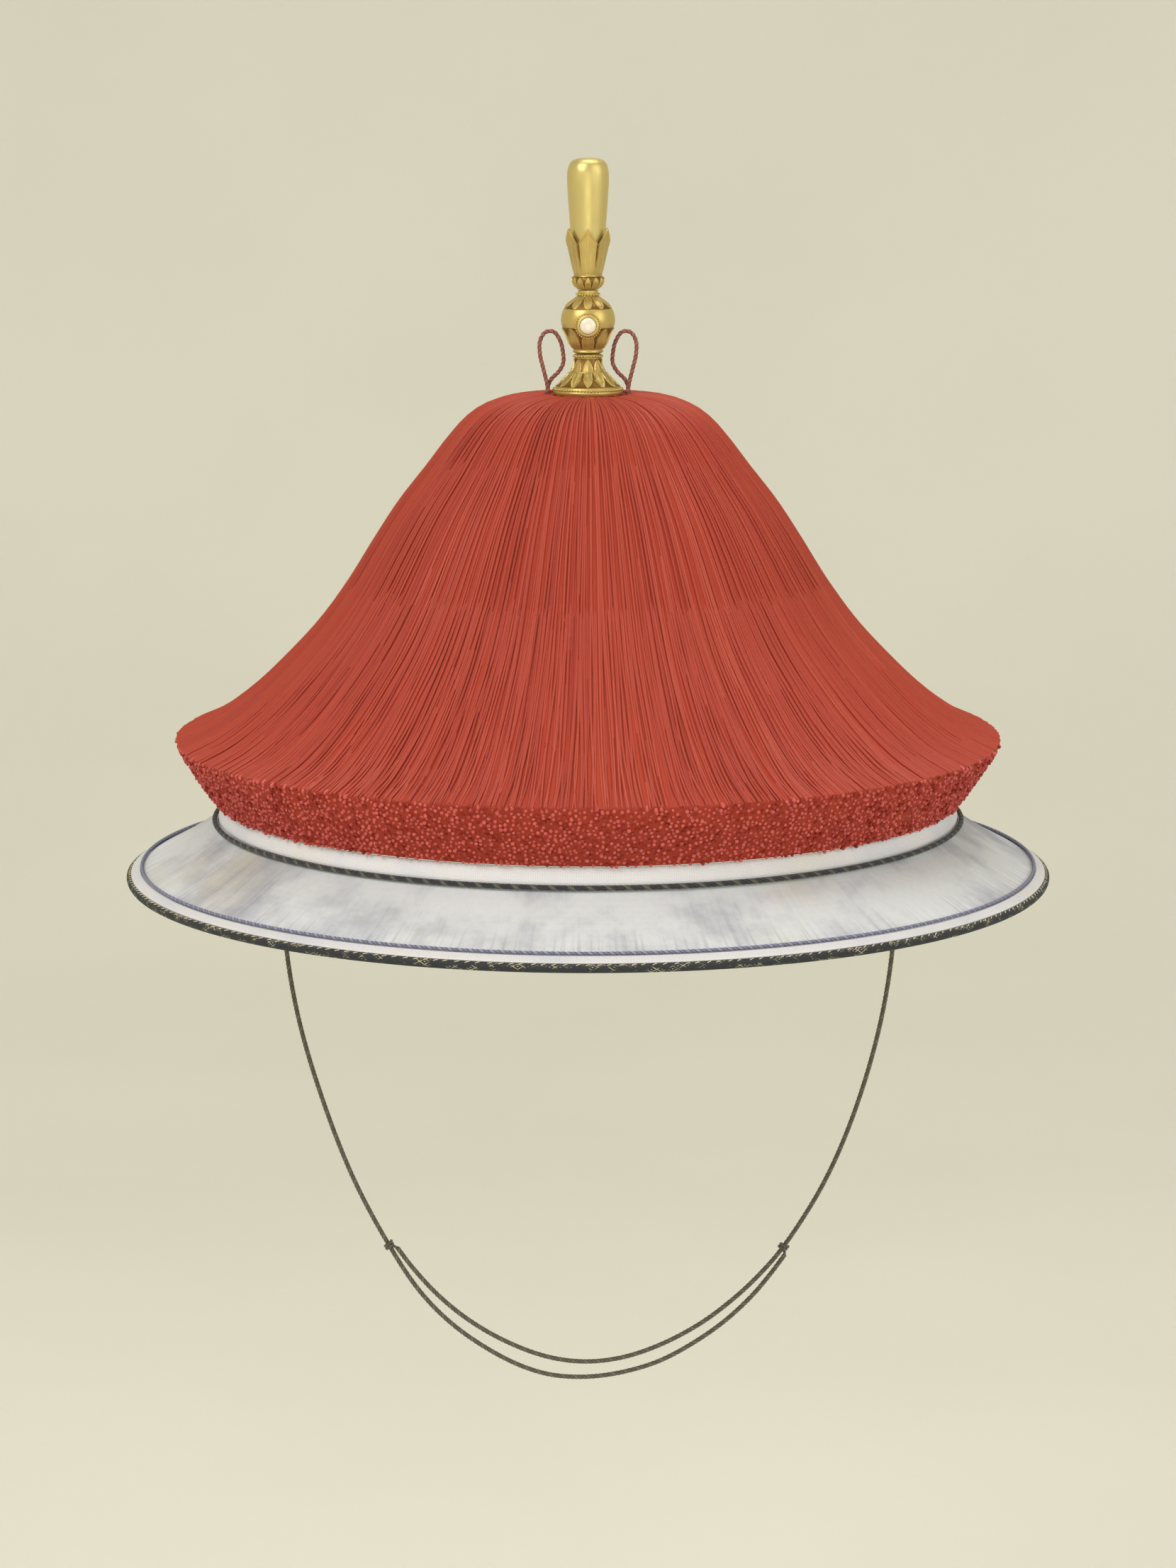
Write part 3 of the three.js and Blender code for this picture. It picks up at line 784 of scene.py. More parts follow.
def brocade(colours):
    """Dark brocade with a small diaper of lozenges in metal thread, worn in places, with painted shade
    between its threads.
    """
    finish = Finish("Dark and gold brocade", Specular_IOR_Level=0.35)
    uv = finish.uv()
    u, v, _ = split(uv)
    around, along = u * 300.0, v * 520.0
    rising, falling = (calculate("FRACT", slant) for slant in (around + along, around - along))
    lattice = calculate("MAXIMUM", *(calculate("GREATER_THAN", slant, 0.86) for slant in (rising, falling)))
    dot = calculate("COMPARE", rising, 0.43, 0.1) * calculate("COMPARE", falling, 0.43, 0.1)
    worn = noise(stretched(uv, 160.0, 300.0), 1.0)
    figure = calculate("MAXIMUM", lattice, dot) * remap(worn, 0.5, 0.64)
    threads, _ = weave(finish.tree, UV=uv, Around=2400.0, Along=2700.0)
    # Painted shade between the threads of the ground
    ground = blend_colours(remap(threads, 0.0, 0.8, 0.5, 0.0), colours.brocade, BROCADE_GROOVE_SHADE)
    finish.feed(
        Base_Color=blend_colours(figure * 0.85, ground, colours.brocade_gold),
        Metallic=figure * 0.55,
        Roughness=remap(figure, 0.0, 1.0, 0.72, 0.4),
    )
    finish.bump(threads + figure, 0.5, 0.0002)
    return finish.material


def twisted(name, base, accent, share, count):
    """Twisted silk cord of a number of plies, the first of them in another colour."""
    finish = Finish(name, Roughness=0.68, Specular_IOR_Level=0.3, Sheen_Weight=0.15, Sheen_Roughness=0.4)
    colour, height = plies(finish.tree, UV=finish.uv(), Plies=count, Base=base, Accent=accent, Share=share)
    finish.feed(Base_Color=colour)
    finish.bump(height, 0.5, 0.00008)
    return finish.material


def gilding(name, base, hollow_shade, relief=False, mark_scale=900.0, mark_depth=0.15):
    """Gilt metal; relief says whether the piece keeps its own relief for the painted shade in the hollows."""
    finish = Finish(name, Metallic=0.75, Specular_IOR_Level=0.5)
    colour, roughness, marks = gilding_with_shade_and_tarnish(
        finish.tree, Place=finish.place(), Relief=finish.attribute("relief") if relief else 1.0,
        Base=base, Hollow=hollow_shade, Marks=mark_scale,
    )
    finish.feed(Base_Color=colour, Roughness=roughness)
    finish.bump(marks, mark_depth, 0.00012)
    return finish.material


def stone(colours):
    finish = Finish(
        "Crystal", Roughness=0.06, IOR=1.54, Coat_Weight=0.6, Coat_Roughness=0.03,
        Subsurface_Weight=0.25, Subsurface_Scale=0.002, Subsurface_Radius=(1.0, 0.95, 0.85),
    )
    veil = remap(noise(finish.place(), 420.0, 4.0, 0.6), 0.4, 0.75, 0.0, 0.6)
    finish.feed(Base_Color=blend_colours(veil, colours.crystal, paint(214, 206, 190)))
    return finish.material


def stitch_thread(name, base):
    finish = Finish(name, Roughness=0.65, Specular_IOR_Level=0.3)
    grain = noise(finish.place(), 2600.0, 2.0)
    finish.feed(Base_Color=blend_colours(remap(grain, 0.35, 0.7, 0.0, 0.4), base, dimmed(base, 0.45)))
    finish.bump(grain, 0.4, 0.0001)
    return finish.material


def floor_paper(colours):
    finish = Finish("Pale floor", Roughness=0.95, Specular_IOR_Level=0.1)
    soft = remap(noise(finish.place(), 3.0), 0.3, 0.7, 0.0, 0.5)
    finish.feed(Base_Color=blend_colours(soft, colours.floor, dimmed(colours.floor, 0.94)))
    return finish.material


# Geometry Nodes trees


def geometry_tree(label, **inputs):
    """Make a function of wires a Geometry Nodes tree, which is built when it is first used.

    The tree takes one geometry and the inputs, given by name and kind, and makes one geometry."""

    def wrap(build):
        def shared():
            tree = bpy.data.node_groups.get(label)
            if tree is None:
                geometry = {"Geometry": "Geometry"}
                tree, given, result = new_group(label, "Geometry", {**geometry, **inputs}, geometry)
                tree.links.new(build(tree, *given).socket, result[0])
            return tree

        return shared

    return wrap


def grow(piece, tree, **values):
    """Run a tree on a piece and keep what it makes as the piece's own plain mesh."""
    modifier = piece.modifiers.new(tree.name, "NODES")
    modifier.node_group = tree
    for item in tree.interface.items_tree:
        if item.in_out == "INPUT" and item.name in values:
            modifier[item.identifier] = values[item.name]
    evaluated = piece.evaluated_get(bpy.context.evaluated_depsgraph_get())
    mesh = bpy.data.meshes.new_from_object(evaluated)
    piece.modifiers.remove(modifier)
    mesh.name = piece.name
    piece.data = mesh
    return piece


def random_value(tree, low, high, seed, item=None):
    values = {2: low, 3: high, "Seed": seed}
    if item is not None:
        values["ID"] = item
    return wire(tree, "FunctionNodeRandomValue", values, 1, data_type="FLOAT")


def outward(tree):
    """The level direction away from the Z axis at each point."""
    return calculate_vector("NORMALIZE", stretched(wire(tree, "GeometryNodeInputPosition"), 1, 1, 0))


def upright(value):
    return joined("ShaderNodeCombineXYZ", {"Z": value})


def stored(geometry, name, value, data_type, domain):
    values = {"Geometry": geometry, "Name": name, "Value": value}
    return joined("GeometryNodeStoreNamedAttribute", values, data_type=data_type, domain=domain)


def round_axis(tree, piece, count, shift):
    """Copies of a piece round the Z axis, each shifted from its even place by a part of a step."""
    index = wire(tree, "GeometryNodeInputIndex")
    turn = upright((index + shift) / count * (2 * math.pi))
    return joined("GeometryNodeInstanceOnPoints", {
        "Points": joined("GeometryNodePoints", {"Count": count}),
        "Instance": piece,
        "Rotation": joined("FunctionNodeEulerToRotation", {0: turn}),
    })


def plain(geometry, material, smooth=True):
    """The end of a tree: real faces with their material."""
    if smooth:
        geometry = joined("GeometryNodeSetShadeSmooth", {"Geometry": geometry})
    real = joined("GeometryNodeRealizeInstances", {"Geometry": geometry})
    return joined("GeometryNodeSetMaterial", {"Geometry": real, "Material": material})


@geometry_tree("Ring of pieces", Count="Int", Unevenness="Float", Seed="Int", Material="Material")
def ring_of_pieces(tree, piece, count, unevenness, seed, material):
    """Repeats a piece round the Z axis, with a little unevenness."""
    shift = random_value(tree, -0.5, 0.5, seed) * unevenness
    return plain(round_axis(tree, piece, count, shift), material)


@geometry_tree(
    "Silk strands", Count="Int", Thickness="Float", Depth="Float", Wave="Float", Seed="Int",
    Material="Material",
)
def silk_strands(tree, line, count, thickness, depth, wave, seed, material):
    """Lays threads round the hat along one guide line, each a little off its neighbours."""
    guide = joined("GeometryNodeMeshToCurve", {"Mesh": line})
    placed = round_axis(tree, guide, count, random_value(tree, -0.4, 0.4, seed))
    numbered = stored(placed, "strand", wire(tree, "GeometryNodeInputIndex"), "INT", "INSTANCE")
    laid = joined("GeometryNodeRealizeInstances", {"Geometry": numbered})

    strand = wire(tree, "GeometryNodeInputNamedAttribute", {"Name": "strand"}, data_type="INT")
    factor = wire(tree, "GeometryNodeSplineParameter", output="Factor")
    sideways = calculate_vector("CROSS_PRODUCT", (0, 0, 1), outward(tree))
    upward = calculate_vector("CROSS_PRODUCT", wire(tree, "GeometryNodeInputTangent"), sideways)
    phase = random_value(tree, 0.0, 6.28, 11, strand)
    pace = random_value(tree, 3.0, 9.0, 12, strand)
    reach = calculate("SINE", factor * pace + phase) * (wave * factor)
    sink = random_value(tree, -1.0, 0.25, 13, strand) * depth
    offset = calculate_vector("ADD", scaled(sideways, reach), scaled(upward, sink))
    swayed = joined("GeometryNodeSetPosition", {"Geometry": laid, "Offset": offset})
    toned = stored(swayed, "tone", random_value(tree, 0.0, 1.0, 14, strand), "FLOAT", "POINT")
    profile = joined("GeometryNodeCurvePrimitiveCircle", {"Resolution": 4, "Radius": thickness * 0.5})
    values = {"Curve": toned, "Profile Curve": profile, "Fill Caps": True}
    return plain(joined("GeometryNodeCurveToMesh", values), material)


@geometry_tree(
    "Cut thread ends", Spacing="Float", Thickness="Float", Droop="Float", Seed="Int", Material="Material",
)
def cut_ends(tree, face, spacing, thickness, droop, seed, material):
    """Scatters cut thread ends over a face, all pointing out along the lay of the threads."""
    scatter = joined("GeometryNodeDistributePointsOnFaces", {
        "Mesh": face, "Distance Min": spacing, "Density Max": 3e6, "Seed": seed,
    }, distribute_method="POISSON")
    shake = wire(tree, "FunctionNodeRandomValue", {
        0: (-0.3,) * 3, 1: (0.3,) * 3, "Seed": 21,
    }, data_type="FLOAT_VECTOR")
    lay = calculate_vector("ADD", outward(tree), upright(droop * -1.0))
    aim = calculate_vector("ADD", lay, shake)
    placed = joined("GeometryNodeInstanceOnPoints", {
        "Points": scatter,
        "Instance": joined("GeometryNodeMeshCylinder", {
            "Vertices": 5, "Radius": thickness * 0.5, "Depth": thickness * 1.4,
        }),
        "Rotation": joined("FunctionNodeAlignRotationToVector", {"Vector": aim}, axis="Z"),
        "Scale": random_value(tree, 0.75, 1.12, 22),
    })
    push = upright(random_value(tree, -0.0007, 0.0002, 23))
    pushed = joined("GeometryNodeTranslateInstances", {"Instances": placed, "Translation": push})
    toned = stored(pushed, "tone", random_value(tree, 0.0, 1.0, 24), "FLOAT", "INSTANCE")
    return plain(toned, material, smooth=False)


# Small pieces that are repeated


def lozenge(name, centre, along, across, half_length, half_width, half_height):
    """A small rounded stitch, as a closed mesh of a few dozen faces."""
    angle = np.arange(6) * 2 * np.pi / 6
    wide = np.outer(np.cos(angle) * half_width, across)
    high = np.outer(np.sin(angle) * half_height, np.cross(along, across))
    shares = np.linspace(-1, 1, 7)
    rings = [
        centre + along * share * half_length + (wide + high) * math.sqrt(1 - share**4)
        for share in shares
    ]
    piece = skin(name, np.array(rings), run_of(np.outer(shares, along)), closed=False, sharp=80)
    fix_normals(piece.data)
    return piece


def bead(name, centre, radius):
    """A small round bead, part of a ring of gilt beads."""
    lean = np.linspace(-math.pi / 2, math.pi / 2, 7)
    turn = np.arange(10) * 2 * np.pi / 10
    shape = np.stack([
        np.outer(np.cos(lean), np.cos(turn)),
        np.outer(np.cos(lean), np.sin(turn)),
        np.outer(np.sin(lean), np.ones(10)),
    ], axis=-1)
    piece = skin(name, np.asarray(centre) + shape * radius, lean * radius, closed=False, sharp=80)
    store_relief(piece, BEAD_RELIEF)
    return piece


def stitch_ring(name, place, normal, lean, half_sizes, count, finish, seed):
    """A ring of stitches at a place on the section, which lean by an angle from the run round.

    half_sizes are half the length, width and height of one stitch in millimetres."""
    up = np.array([normal[0], 0, normal[1]])
    run = np.array([0.0, 1.0, 0.0])
    along = run * math.cos(lean) + np.cross(up, run) * math.sin(lean)
    sizes = (size * MM for size in half_sizes)
    piece = lozenge(name, (place[0], 0, place[1]), along, np.cross(up, along), *sizes)
    return grow(piece, ring_of_pieces(), Count=count, Unevenness=0.25, Seed=seed, Material=finish)


# Operators


class HatOperator:
    """What the hat's operators share"""

    bl_options = {"REGISTER", "UNDO"}

    @property
    def sizes(self):
        return bpy.context.scene.court_hat_sizes

    @property
    def colours(self):
        return bpy.context.scene.court_hat_colours


class COURTHAT_OT_stage(HatOperator, Operator):
    """Set the camera, a pale floor with a curved backdrop, and soft studio light"""

    bl_idname = "court_hat.stage"
    bl_label = "Stage and camera"

    def execute(self, context):
        sizes = self.sizes
        scene = context.scene
        lens = bpy.data.cameras.new("hat_camera")
        lens.sensor_fit = "VERTICAL"
        lens.sensor_height = SENSOR
        lens.lens = LENS
        lens.clip_end = 50
        camera = link("hat_camera", lens)
        camera.location = (0, -sizes.camera_distance, sizes.camera_height)
        camera.rotation_euler = self.turn_to(camera.location, (0, 0, AIM_HEIGHT * MM))
        scene.camera = camera
        scene.view_settings.view_transform = "Standard"

        bottom = CAD_BOX[0][2] - sizes.floor_drop
        # Radius and rise in metres
        run = [
            (0, 0), (0.4, 0), (0.8, 0), (1.2, 0), (1.6, 0),
            (2.0, 0.06), (2.4, 0.3), (2.7, 0.8), (2.8, 1.5), (2.8, 3),
        ]
        line = smooth_line([(max(radius, 1e-6), bottom + rise) for radius, rise in run], 60, tension=0)
        bowl = turned("floor", line[::-1], 96, closed=False)
        bowl.data.materials.append(floor_paper(self.colours))

        # Name, place in metres, size in metres, power in watts, tint
        lamps = [
            ("key", (-1.3, -1.5, 1.7), 1.3, 34, (1.0, 0.99, 0.975)),
            ("fill", (1.6, -1.3, 0.9), 1.6, 15, (0.96, 0.98, 1.0)),
            ("top", (0.2, 0.5, 2.3), 1.6, 22, (1.0, 0.99, 0.975)),
            ("low", (0.0, -1.9, -0.05), 0.9, 4, (1.0, 0.97, 0.93)),
        ]
        for name, place, size, power, tint in lamps:
            lamp = bpy.data.lights.new(name, "AREA")
            lamp.size = size
            lamp.energy = power
            lamp.color = tint
            light = link(name, lamp)
            light.location = place
            light.rotation_euler = self.turn_to(place, (0, 0, 0.02))
        world = bpy.data.worlds.new("soft_daylight")
        world.use_nodes = True
        daylight = world.node_tree.nodes["Background"].inputs
        daylight["Color"].default_value = (0.93, 0.93, 0.92, 1)
        daylight["Strength"].default_value = 0.55
        scene.world = world
        return {"FINISHED"}

    @staticmethod
    def turn_to(place, target):
        return (Vector(target) - Vector(place)).to_track_quat("-Z", "Y").to_euler()


class COURTHAT_OT_chin_cord(HatOperator, Operator):
    """Make both halves of the chin cord, with the slip knots that join them"""

    bl_idname = "court_hat.chin_cord"
    bl_label = "Chin cord"

    def execute(self, context):
        colours = self.colours
        finish = twisted("Dark cord", colours.chin_cord, paint(134, 128, 112), 0.5, 3)
        routes = {"left": CORD_LEFT, "right": CORD_RIGHT}
        for side, rows in routes.items():
            path = smooth_line([(x * MM, 0, level(height)) for x, height in rows], 860)
            radius = self.sizes.cord / 2
            piece = rope(f"chin_cord_{side}_braid", path, radius, 3, CHIN_PITCH * MM, 0.22, (0, 1, 0))
            keep(piece, "dark_cord", f"chin_cord_{side}", finish=finish)
            knot = self.knot(side, rows, finish)
        return {"FINISHED"}

    def knot(self, side, rows, finish):
        """The end of one half, drawn thin and wound round the other, with its tail tucked out."""
        before, at, after = (
            np.array([x * MM, 0, level(height)]) for x, height in rows[KNOT_ROW - 1 : KNOT_ROW + 2]
        )
        run = (after - before) / np.linalg.norm(after - before)
        forward = np.array([0.0, 1.0, 0.0])
        towards_end = np.cross(run, forward)
        radius = self.sizes.cord / 2 + (KNOT_CORD_RADIUS - 0.05) * MM
        share = np.linspace(0, 1, 80)
        angle = math.pi / 2 + (share - 1) * KNOT_TURNS * 2 * np.pi
        winding = (
            np.outer((share * 2 - 1) * MM, run)
            + np.outer(np.cos(angle) * radius, forward) + np.outer(np.sin(angle) * radius, towards_end)
        )
        tail = (-1.3 * run + 1.6 * towards_end) * MM
        cord_end = (1.9 * run + 1.95 * towards_end) * MM
        path = at + smooth_line(np.vstack([tail, winding, cord_end]), 110)
        radius = KNOT_CORD_RADIUS * MM
        piece = rope(f"slip_knot_{side}_wound", path, radius, 3, KNOT_PITCH * MM, 0.2, run, sides=9)
        return keep(piece, "dark_cord", f"slip_knot_{side}", finish=finish)


class COURTHAT_OT_straw(HatOperator, Operator):
    """Make the straw brim and crown, with gauze outside"""

    bl_idname = "court_hat.straw"
    bl_label = "Straw brim and crown"

    def execute(self, context):
        outside, inside = gauze(self.colours), straw(self.colours)
        wall = np.vstack([BRIM_LINE, CROWN_LINE])
        inner = moved(wall, STRAW_WALL)
        seam = len(BRIM_LINE)
        gap = np.array([0, -GAP * MM])
        brim = np.vstack([wall[: seam], wall[seam] + gap, inner[seam] + gap, inner[: seam][::-1]])
        top = CROWN_TOP - STRAW_WALL
        hole = section([(POST_HOLE, CROWN_TOP), (POST_HOLE, top)])
        crown = np.vstack([wall[seam:], hole, inner[seam:][::-1]])
        for name, line, outer_rows in (("brim", brim, seam + 1), ("crown", crown, len(wall) - seam + 1)):
            piece = turned(f"{name}_straw", line, self.sizes.columns)
            for finish in (outside, inside):
                piece.data.materials.append(finish)
            rows = np.repeat(np.arange(len(line)), self.sizes.columns)
            piece.data.polygons.foreach_set("material_index", (rows >= outer_rows).astype(np.int32))
            keep(piece, "gauze", name)
        return {"FINISHED"}


class COURTHAT_OT_trim(HatOperator, Operator):
    """Make the bound rim, the tape, the pipings, the band and their stitches"""

    bl_idname = "court_hat.trim"
    bl_label = "Bindings and pipings"

    def execute(self, context):
        columns = self.sizes.columns
        colours = self.colours
        self.binding(columns, brocade(colours))
        # The tape's silk is the white silk at 0.82: painted shade, for the light that falls full on the tape
        self.tape(columns, ribbed_silk(colours, "White tape silk", 0.82))
        self.band(columns, ribbed_silk(colours, "White band silk"))
        blue = twisted("Blue-grey cord", colours.piping, paint(164, 168, 196), 0.6, 2)
        place = at_edge(-TAPE_INNER - GAP - RIM_PIPING_RADIUS, GAP + RIM_PIPING_RADIUS)
        thin = rope(
            "rim_piping_cord", ring_path(*place, 1700), RIM_PIPING_RADIUS * MM,
            2, RIM_PIPING_PITCH * MM, 0.25, (0, 0, 1), closed=True, sides=8,
        )
        keep(thin, "blue_piping", "rim_piping", finish=blue)
        dark = twisted("Dark and gold cord", colours.brocade, colours.brocade_gold, 0.18, 3)
        place = (RISER[0, 0] + (2 * GAP + BAND_THICKNESS + CROWN_PIPING_RADIUS) * MM, RISER[0, 1] + GAP * MM)
        thick = rope(
            "crown_piping_cord", ring_path(*place, 1200), CROWN_PIPING_RADIUS * MM,
            3, CROWN_PIPING_PITCH * MM, 0.22, (0, 0, 1), closed=True, sides=12,
        )
        keep(thick, "brocade", "crown_piping", finish=dark)
        return {"FINISHED"}

    def binding(self, columns, finish):
        """Brocade folded over the edge, soft at the fold, with its lips on both faces."""
        lip, thick, wall = BINDING_LIP, BINDING_THICKNESS, STRAW_WALL
        gap, edge = GAP - BINDING_CREEP, BINDING_EDGE - BINDING_CREEP
        outside = [(-lip, -wall - gap - thick * 0.75), (-lip * 0.5, -wall - gap - thick)]
        middle, reach = -wall / 2, wall / 2 + gap + thick
        for angle in np.linspace(-math.pi / 2, math.pi / 2, 13):
            outside.append((edge * math.cos(angle), middle + reach * math.sin(angle)))
        outside += [(-lip * 0.5, gap + thick), (-lip, gap + thick * 0.75)]
        inside = [(-lip, gap), (0, gap), (gap, 0), (gap, -wall), (0, -wall - gap), (-lip, -wall - gap)]
        line = np.array([at_edge(*place) for place in outside + inside])
        piece = turned("rim_binding_brocade", line, columns, sharp=50)
        keep(piece, "brocade", "rim_binding", finish=finish)
        count = self.sizes.binding_stitches
        for name, up, facing in (("upper", gap + thick * 0.85, 1), ("under", -wall - gap - thick * 0.85, -1)):
            place = at_edge(-lip * 0.72, up)
            thread = stitch_thread(f"Binding thread, {name}", self.colours.brocade_gold)
            stitches = stitch_ring(
                f"binding_stitches_{name}", place, OFF_BRIM * facing, 0.5, (0.95, 0.2, 0.17), count, thread, 5
            )
            keep(stitches, "brocade")

    def tape(self, columns, finish):
        """A white ribbed tape, cambered, sewn down along its inner edge."""
        ends = at_edge(-TAPE_OUTER, GAP), at_edge(-TAPE_INNER, GAP)
        ribbed = self.strip("rim_tape_ribbed", *ends, TAPE_THICKNESS, columns)
        keep(ribbed, "white_silk", "rim_tape", finish=finish)
        thread = stitch_thread("White thread", paint(206, 210, 222))
        place = at_edge(-TAPE_INNER + 0.55, GAP + TAPE_THICKNESS * 0.75)
        stitches = stitch_ring(
            "tape_stitches", place, OFF_BRIM, 0.0, (0.8, 0.13, 0.12), self.sizes.band_stitches, thread, 6
        )
        keep(stitches, "white_silk")

    def band(self, columns, finish):
        """The white band on the riser, between the piping and the fringe."""
        face = moved(RISER, -GAP)
        foot = face[0] + np.array([0, (GAP + CROWN_PIPING_RADIUS / 2) * MM])
        head = face[1] - np.array([0, GAP * MM])
        ribbed = self.strip("crown_band_ribbed", foot, head, BAND_THICKNESS, columns)
        keep(ribbed, "white_silk", "crown_band", finish=finish)

    @staticmethod
    def strip(name, start, end, thickness, columns):
        """A flat strip from one place to another on a section, a little fuller in its middle."""
        share = np.linspace(0, 1, 13)
        back = start + np.outer(share, end - start)
        along = (end - start) / np.linalg.norm(end - start)
        out = np.array([along[1], -along[0]])
        camber = thickness * MM * (0.62 + 0.38 * np.sqrt(np.clip(1 - (2 * share - 1) ** 4, 0, 1)))
        front = back + out * camber[:, None]
        line = np.vstack([front, back[::-1]])
        piece = turned(name, line, columns, sharp=50)
        fix_normals(piece.data)
        return piece


class COURTHAT_OT_fringe(HatOperator, Operator):
    """Make the bell of red silk: its body, its threads and their cut ends"""

    bl_idname = "court_hat.fringe"
    bl_label = "Silk fringe"

    def execute(self, context):
        sizes, colours = self.sizes, self.colours
        self.body(sizes.columns, silk_ground(colours))
        thread = silk_thread(colours)
        # Name, radius where the threads start, how many, points along each, seed
        families = [
            ("fringe_threads_long", 12.6, sizes.long_threads, 46, 31),
            ("fringe_threads_middle", 40.0, sizes.middle_threads, 30, 32),
            ("fringe_threads_short", 72.0, sizes.short_threads, 18, 33),
        ]
        for name, start, count, steps, seed in families:
            self.strands(name, start, count, steps, seed, thread)
        self.ends(sizes, silk_cut(colours))
        return {"FINISHED"}

    def body(self, columns, finish):
        cut = corners([FRINGE_TOP[-1], *FRINGE_CUT], 2.0)[::-1]
        inside = moved(CROWN_LINE, -FRINGE_CLEARANCE)
        hole = section([(POST_HOLE, FRINGE_TOP[0][1]), (POST_HOLE, CROWN_TOP + FRINGE_CLEARANCE)])
        line = np.vstack([cut[:-1], FRINGE_LINE[::-1], hole, inside[::-1]])
        piece = turned("silk_fringe_body", line, columns)
        keep(piece, "red_silk", "silk_fringe", finish=finish)

    def strands(self, name, start, count, steps, seed, finish):
        """One family of threads from a start radius to the cut, its starts tucked under."""
        share = np.linspace(0, 1, steps)
        tucked = np.clip(1 - share / 0.12, 0, 1) * (start > 20)
        lift = self.sizes.thread / MM * 0.175 - STRAND_TUCK * tucked
        guide = moved(spaced(cut_at(FRINGE_LINE, start), steps), lift)
        mesh = bpy.data.meshes.new(name)
        points = [(x, 0, z) for x, z in guide.tolist()]
        mesh.from_pydata(points, [(i, i + 1) for i in range(steps - 1)], [])
        piece = link(name, mesh)
        grow(
            piece, silk_strands(), Count=count, Thickness=self.sizes.thread, Depth=STRAND_DEPTH * MM,
            Wave=STRAND_WAVE * MM, Seed=seed, Material=finish,
        )
        keep(piece, "red_silk")

    def ends(self, sizes, finish):
        """The cut face, which shows the threads end on."""
        line = corners([FRINGE_TOP[-1], *FRINGE_CUT], 3.0)[::-1]
        face = turned_strip("fringe_cut_ends", line, 128)
        grow(
            face, cut_ends(), Spacing=sizes.end_spacing, Thickness=sizes.thread * 1.15,
            Droop=0.35, Seed=41, Material=finish,
        )
        keep(face, "red_silk")


def turned_strip(name, line, columns):
    """An open strip turned about the Z axis, for scattering on."""
    angle = np.arange(columns) * 2 * np.pi / columns
    points = np.stack([
        np.outer(line[:, 0], np.cos(angle)), np.outer(line[:, 0], np.sin(angle)),
        np.repeat(line[:, 1:], columns, axis=1),
    ], axis=-1)
    rows = len(line)
    beside = [(here, (here + 1) % columns) for here in range(columns)]
    faces = [
        (row * columns + here, row * columns + there, (row + 1) * columns + there, (row + 1) * columns + here)
        for row in range(rows - 1) for here, there in beside
    ]
    mesh = bpy.data.meshes.new(name)
    mesh.from_pydata(points.reshape(-1, 3).tolist(), [], faces)
    return link(name, mesh)


def from_middle(angle, count):
    """How far a direction is from the middle of its petal: 1 half-way to the next petal."""
    return np.abs((angle * count / (2 * np.pi) + 0.25 * count + 0.5) % 1 - 0.5) * 2


def hump(distance, width):
    """A soft ridge, 1 high, over places at distance 0."""
    return np.exp(-((distance / width) ** 2))


def petal(angle, count, share):
    """The relief of a ring of pointed petals, from 0 in the hollows to 1 on their rims, which also sets the
    gilding's painted shade in the hollows.

    share runs from 0 at the petals' root to 1 at their tips."""
    across = from_middle(angle, count)
    inside = (share >= 0) & (share <= 1)
    share = np.clip(share, 0, 1)
    width = 0.96 * (1 - share**2.2) ** 0.75
    depth = np.clip((width - across) / 0.16, 0, 1)
    plate = depth * depth * (3 - 2 * depth)
    rim = hump(width - across - 0.13, 0.09)
    rib = hump(across, 0.1) * (1 - share)
    relief = 0.62 * plate + 0.38 * rim + 0.2 * rib * plate
    return np.where(inside, relief, 0)


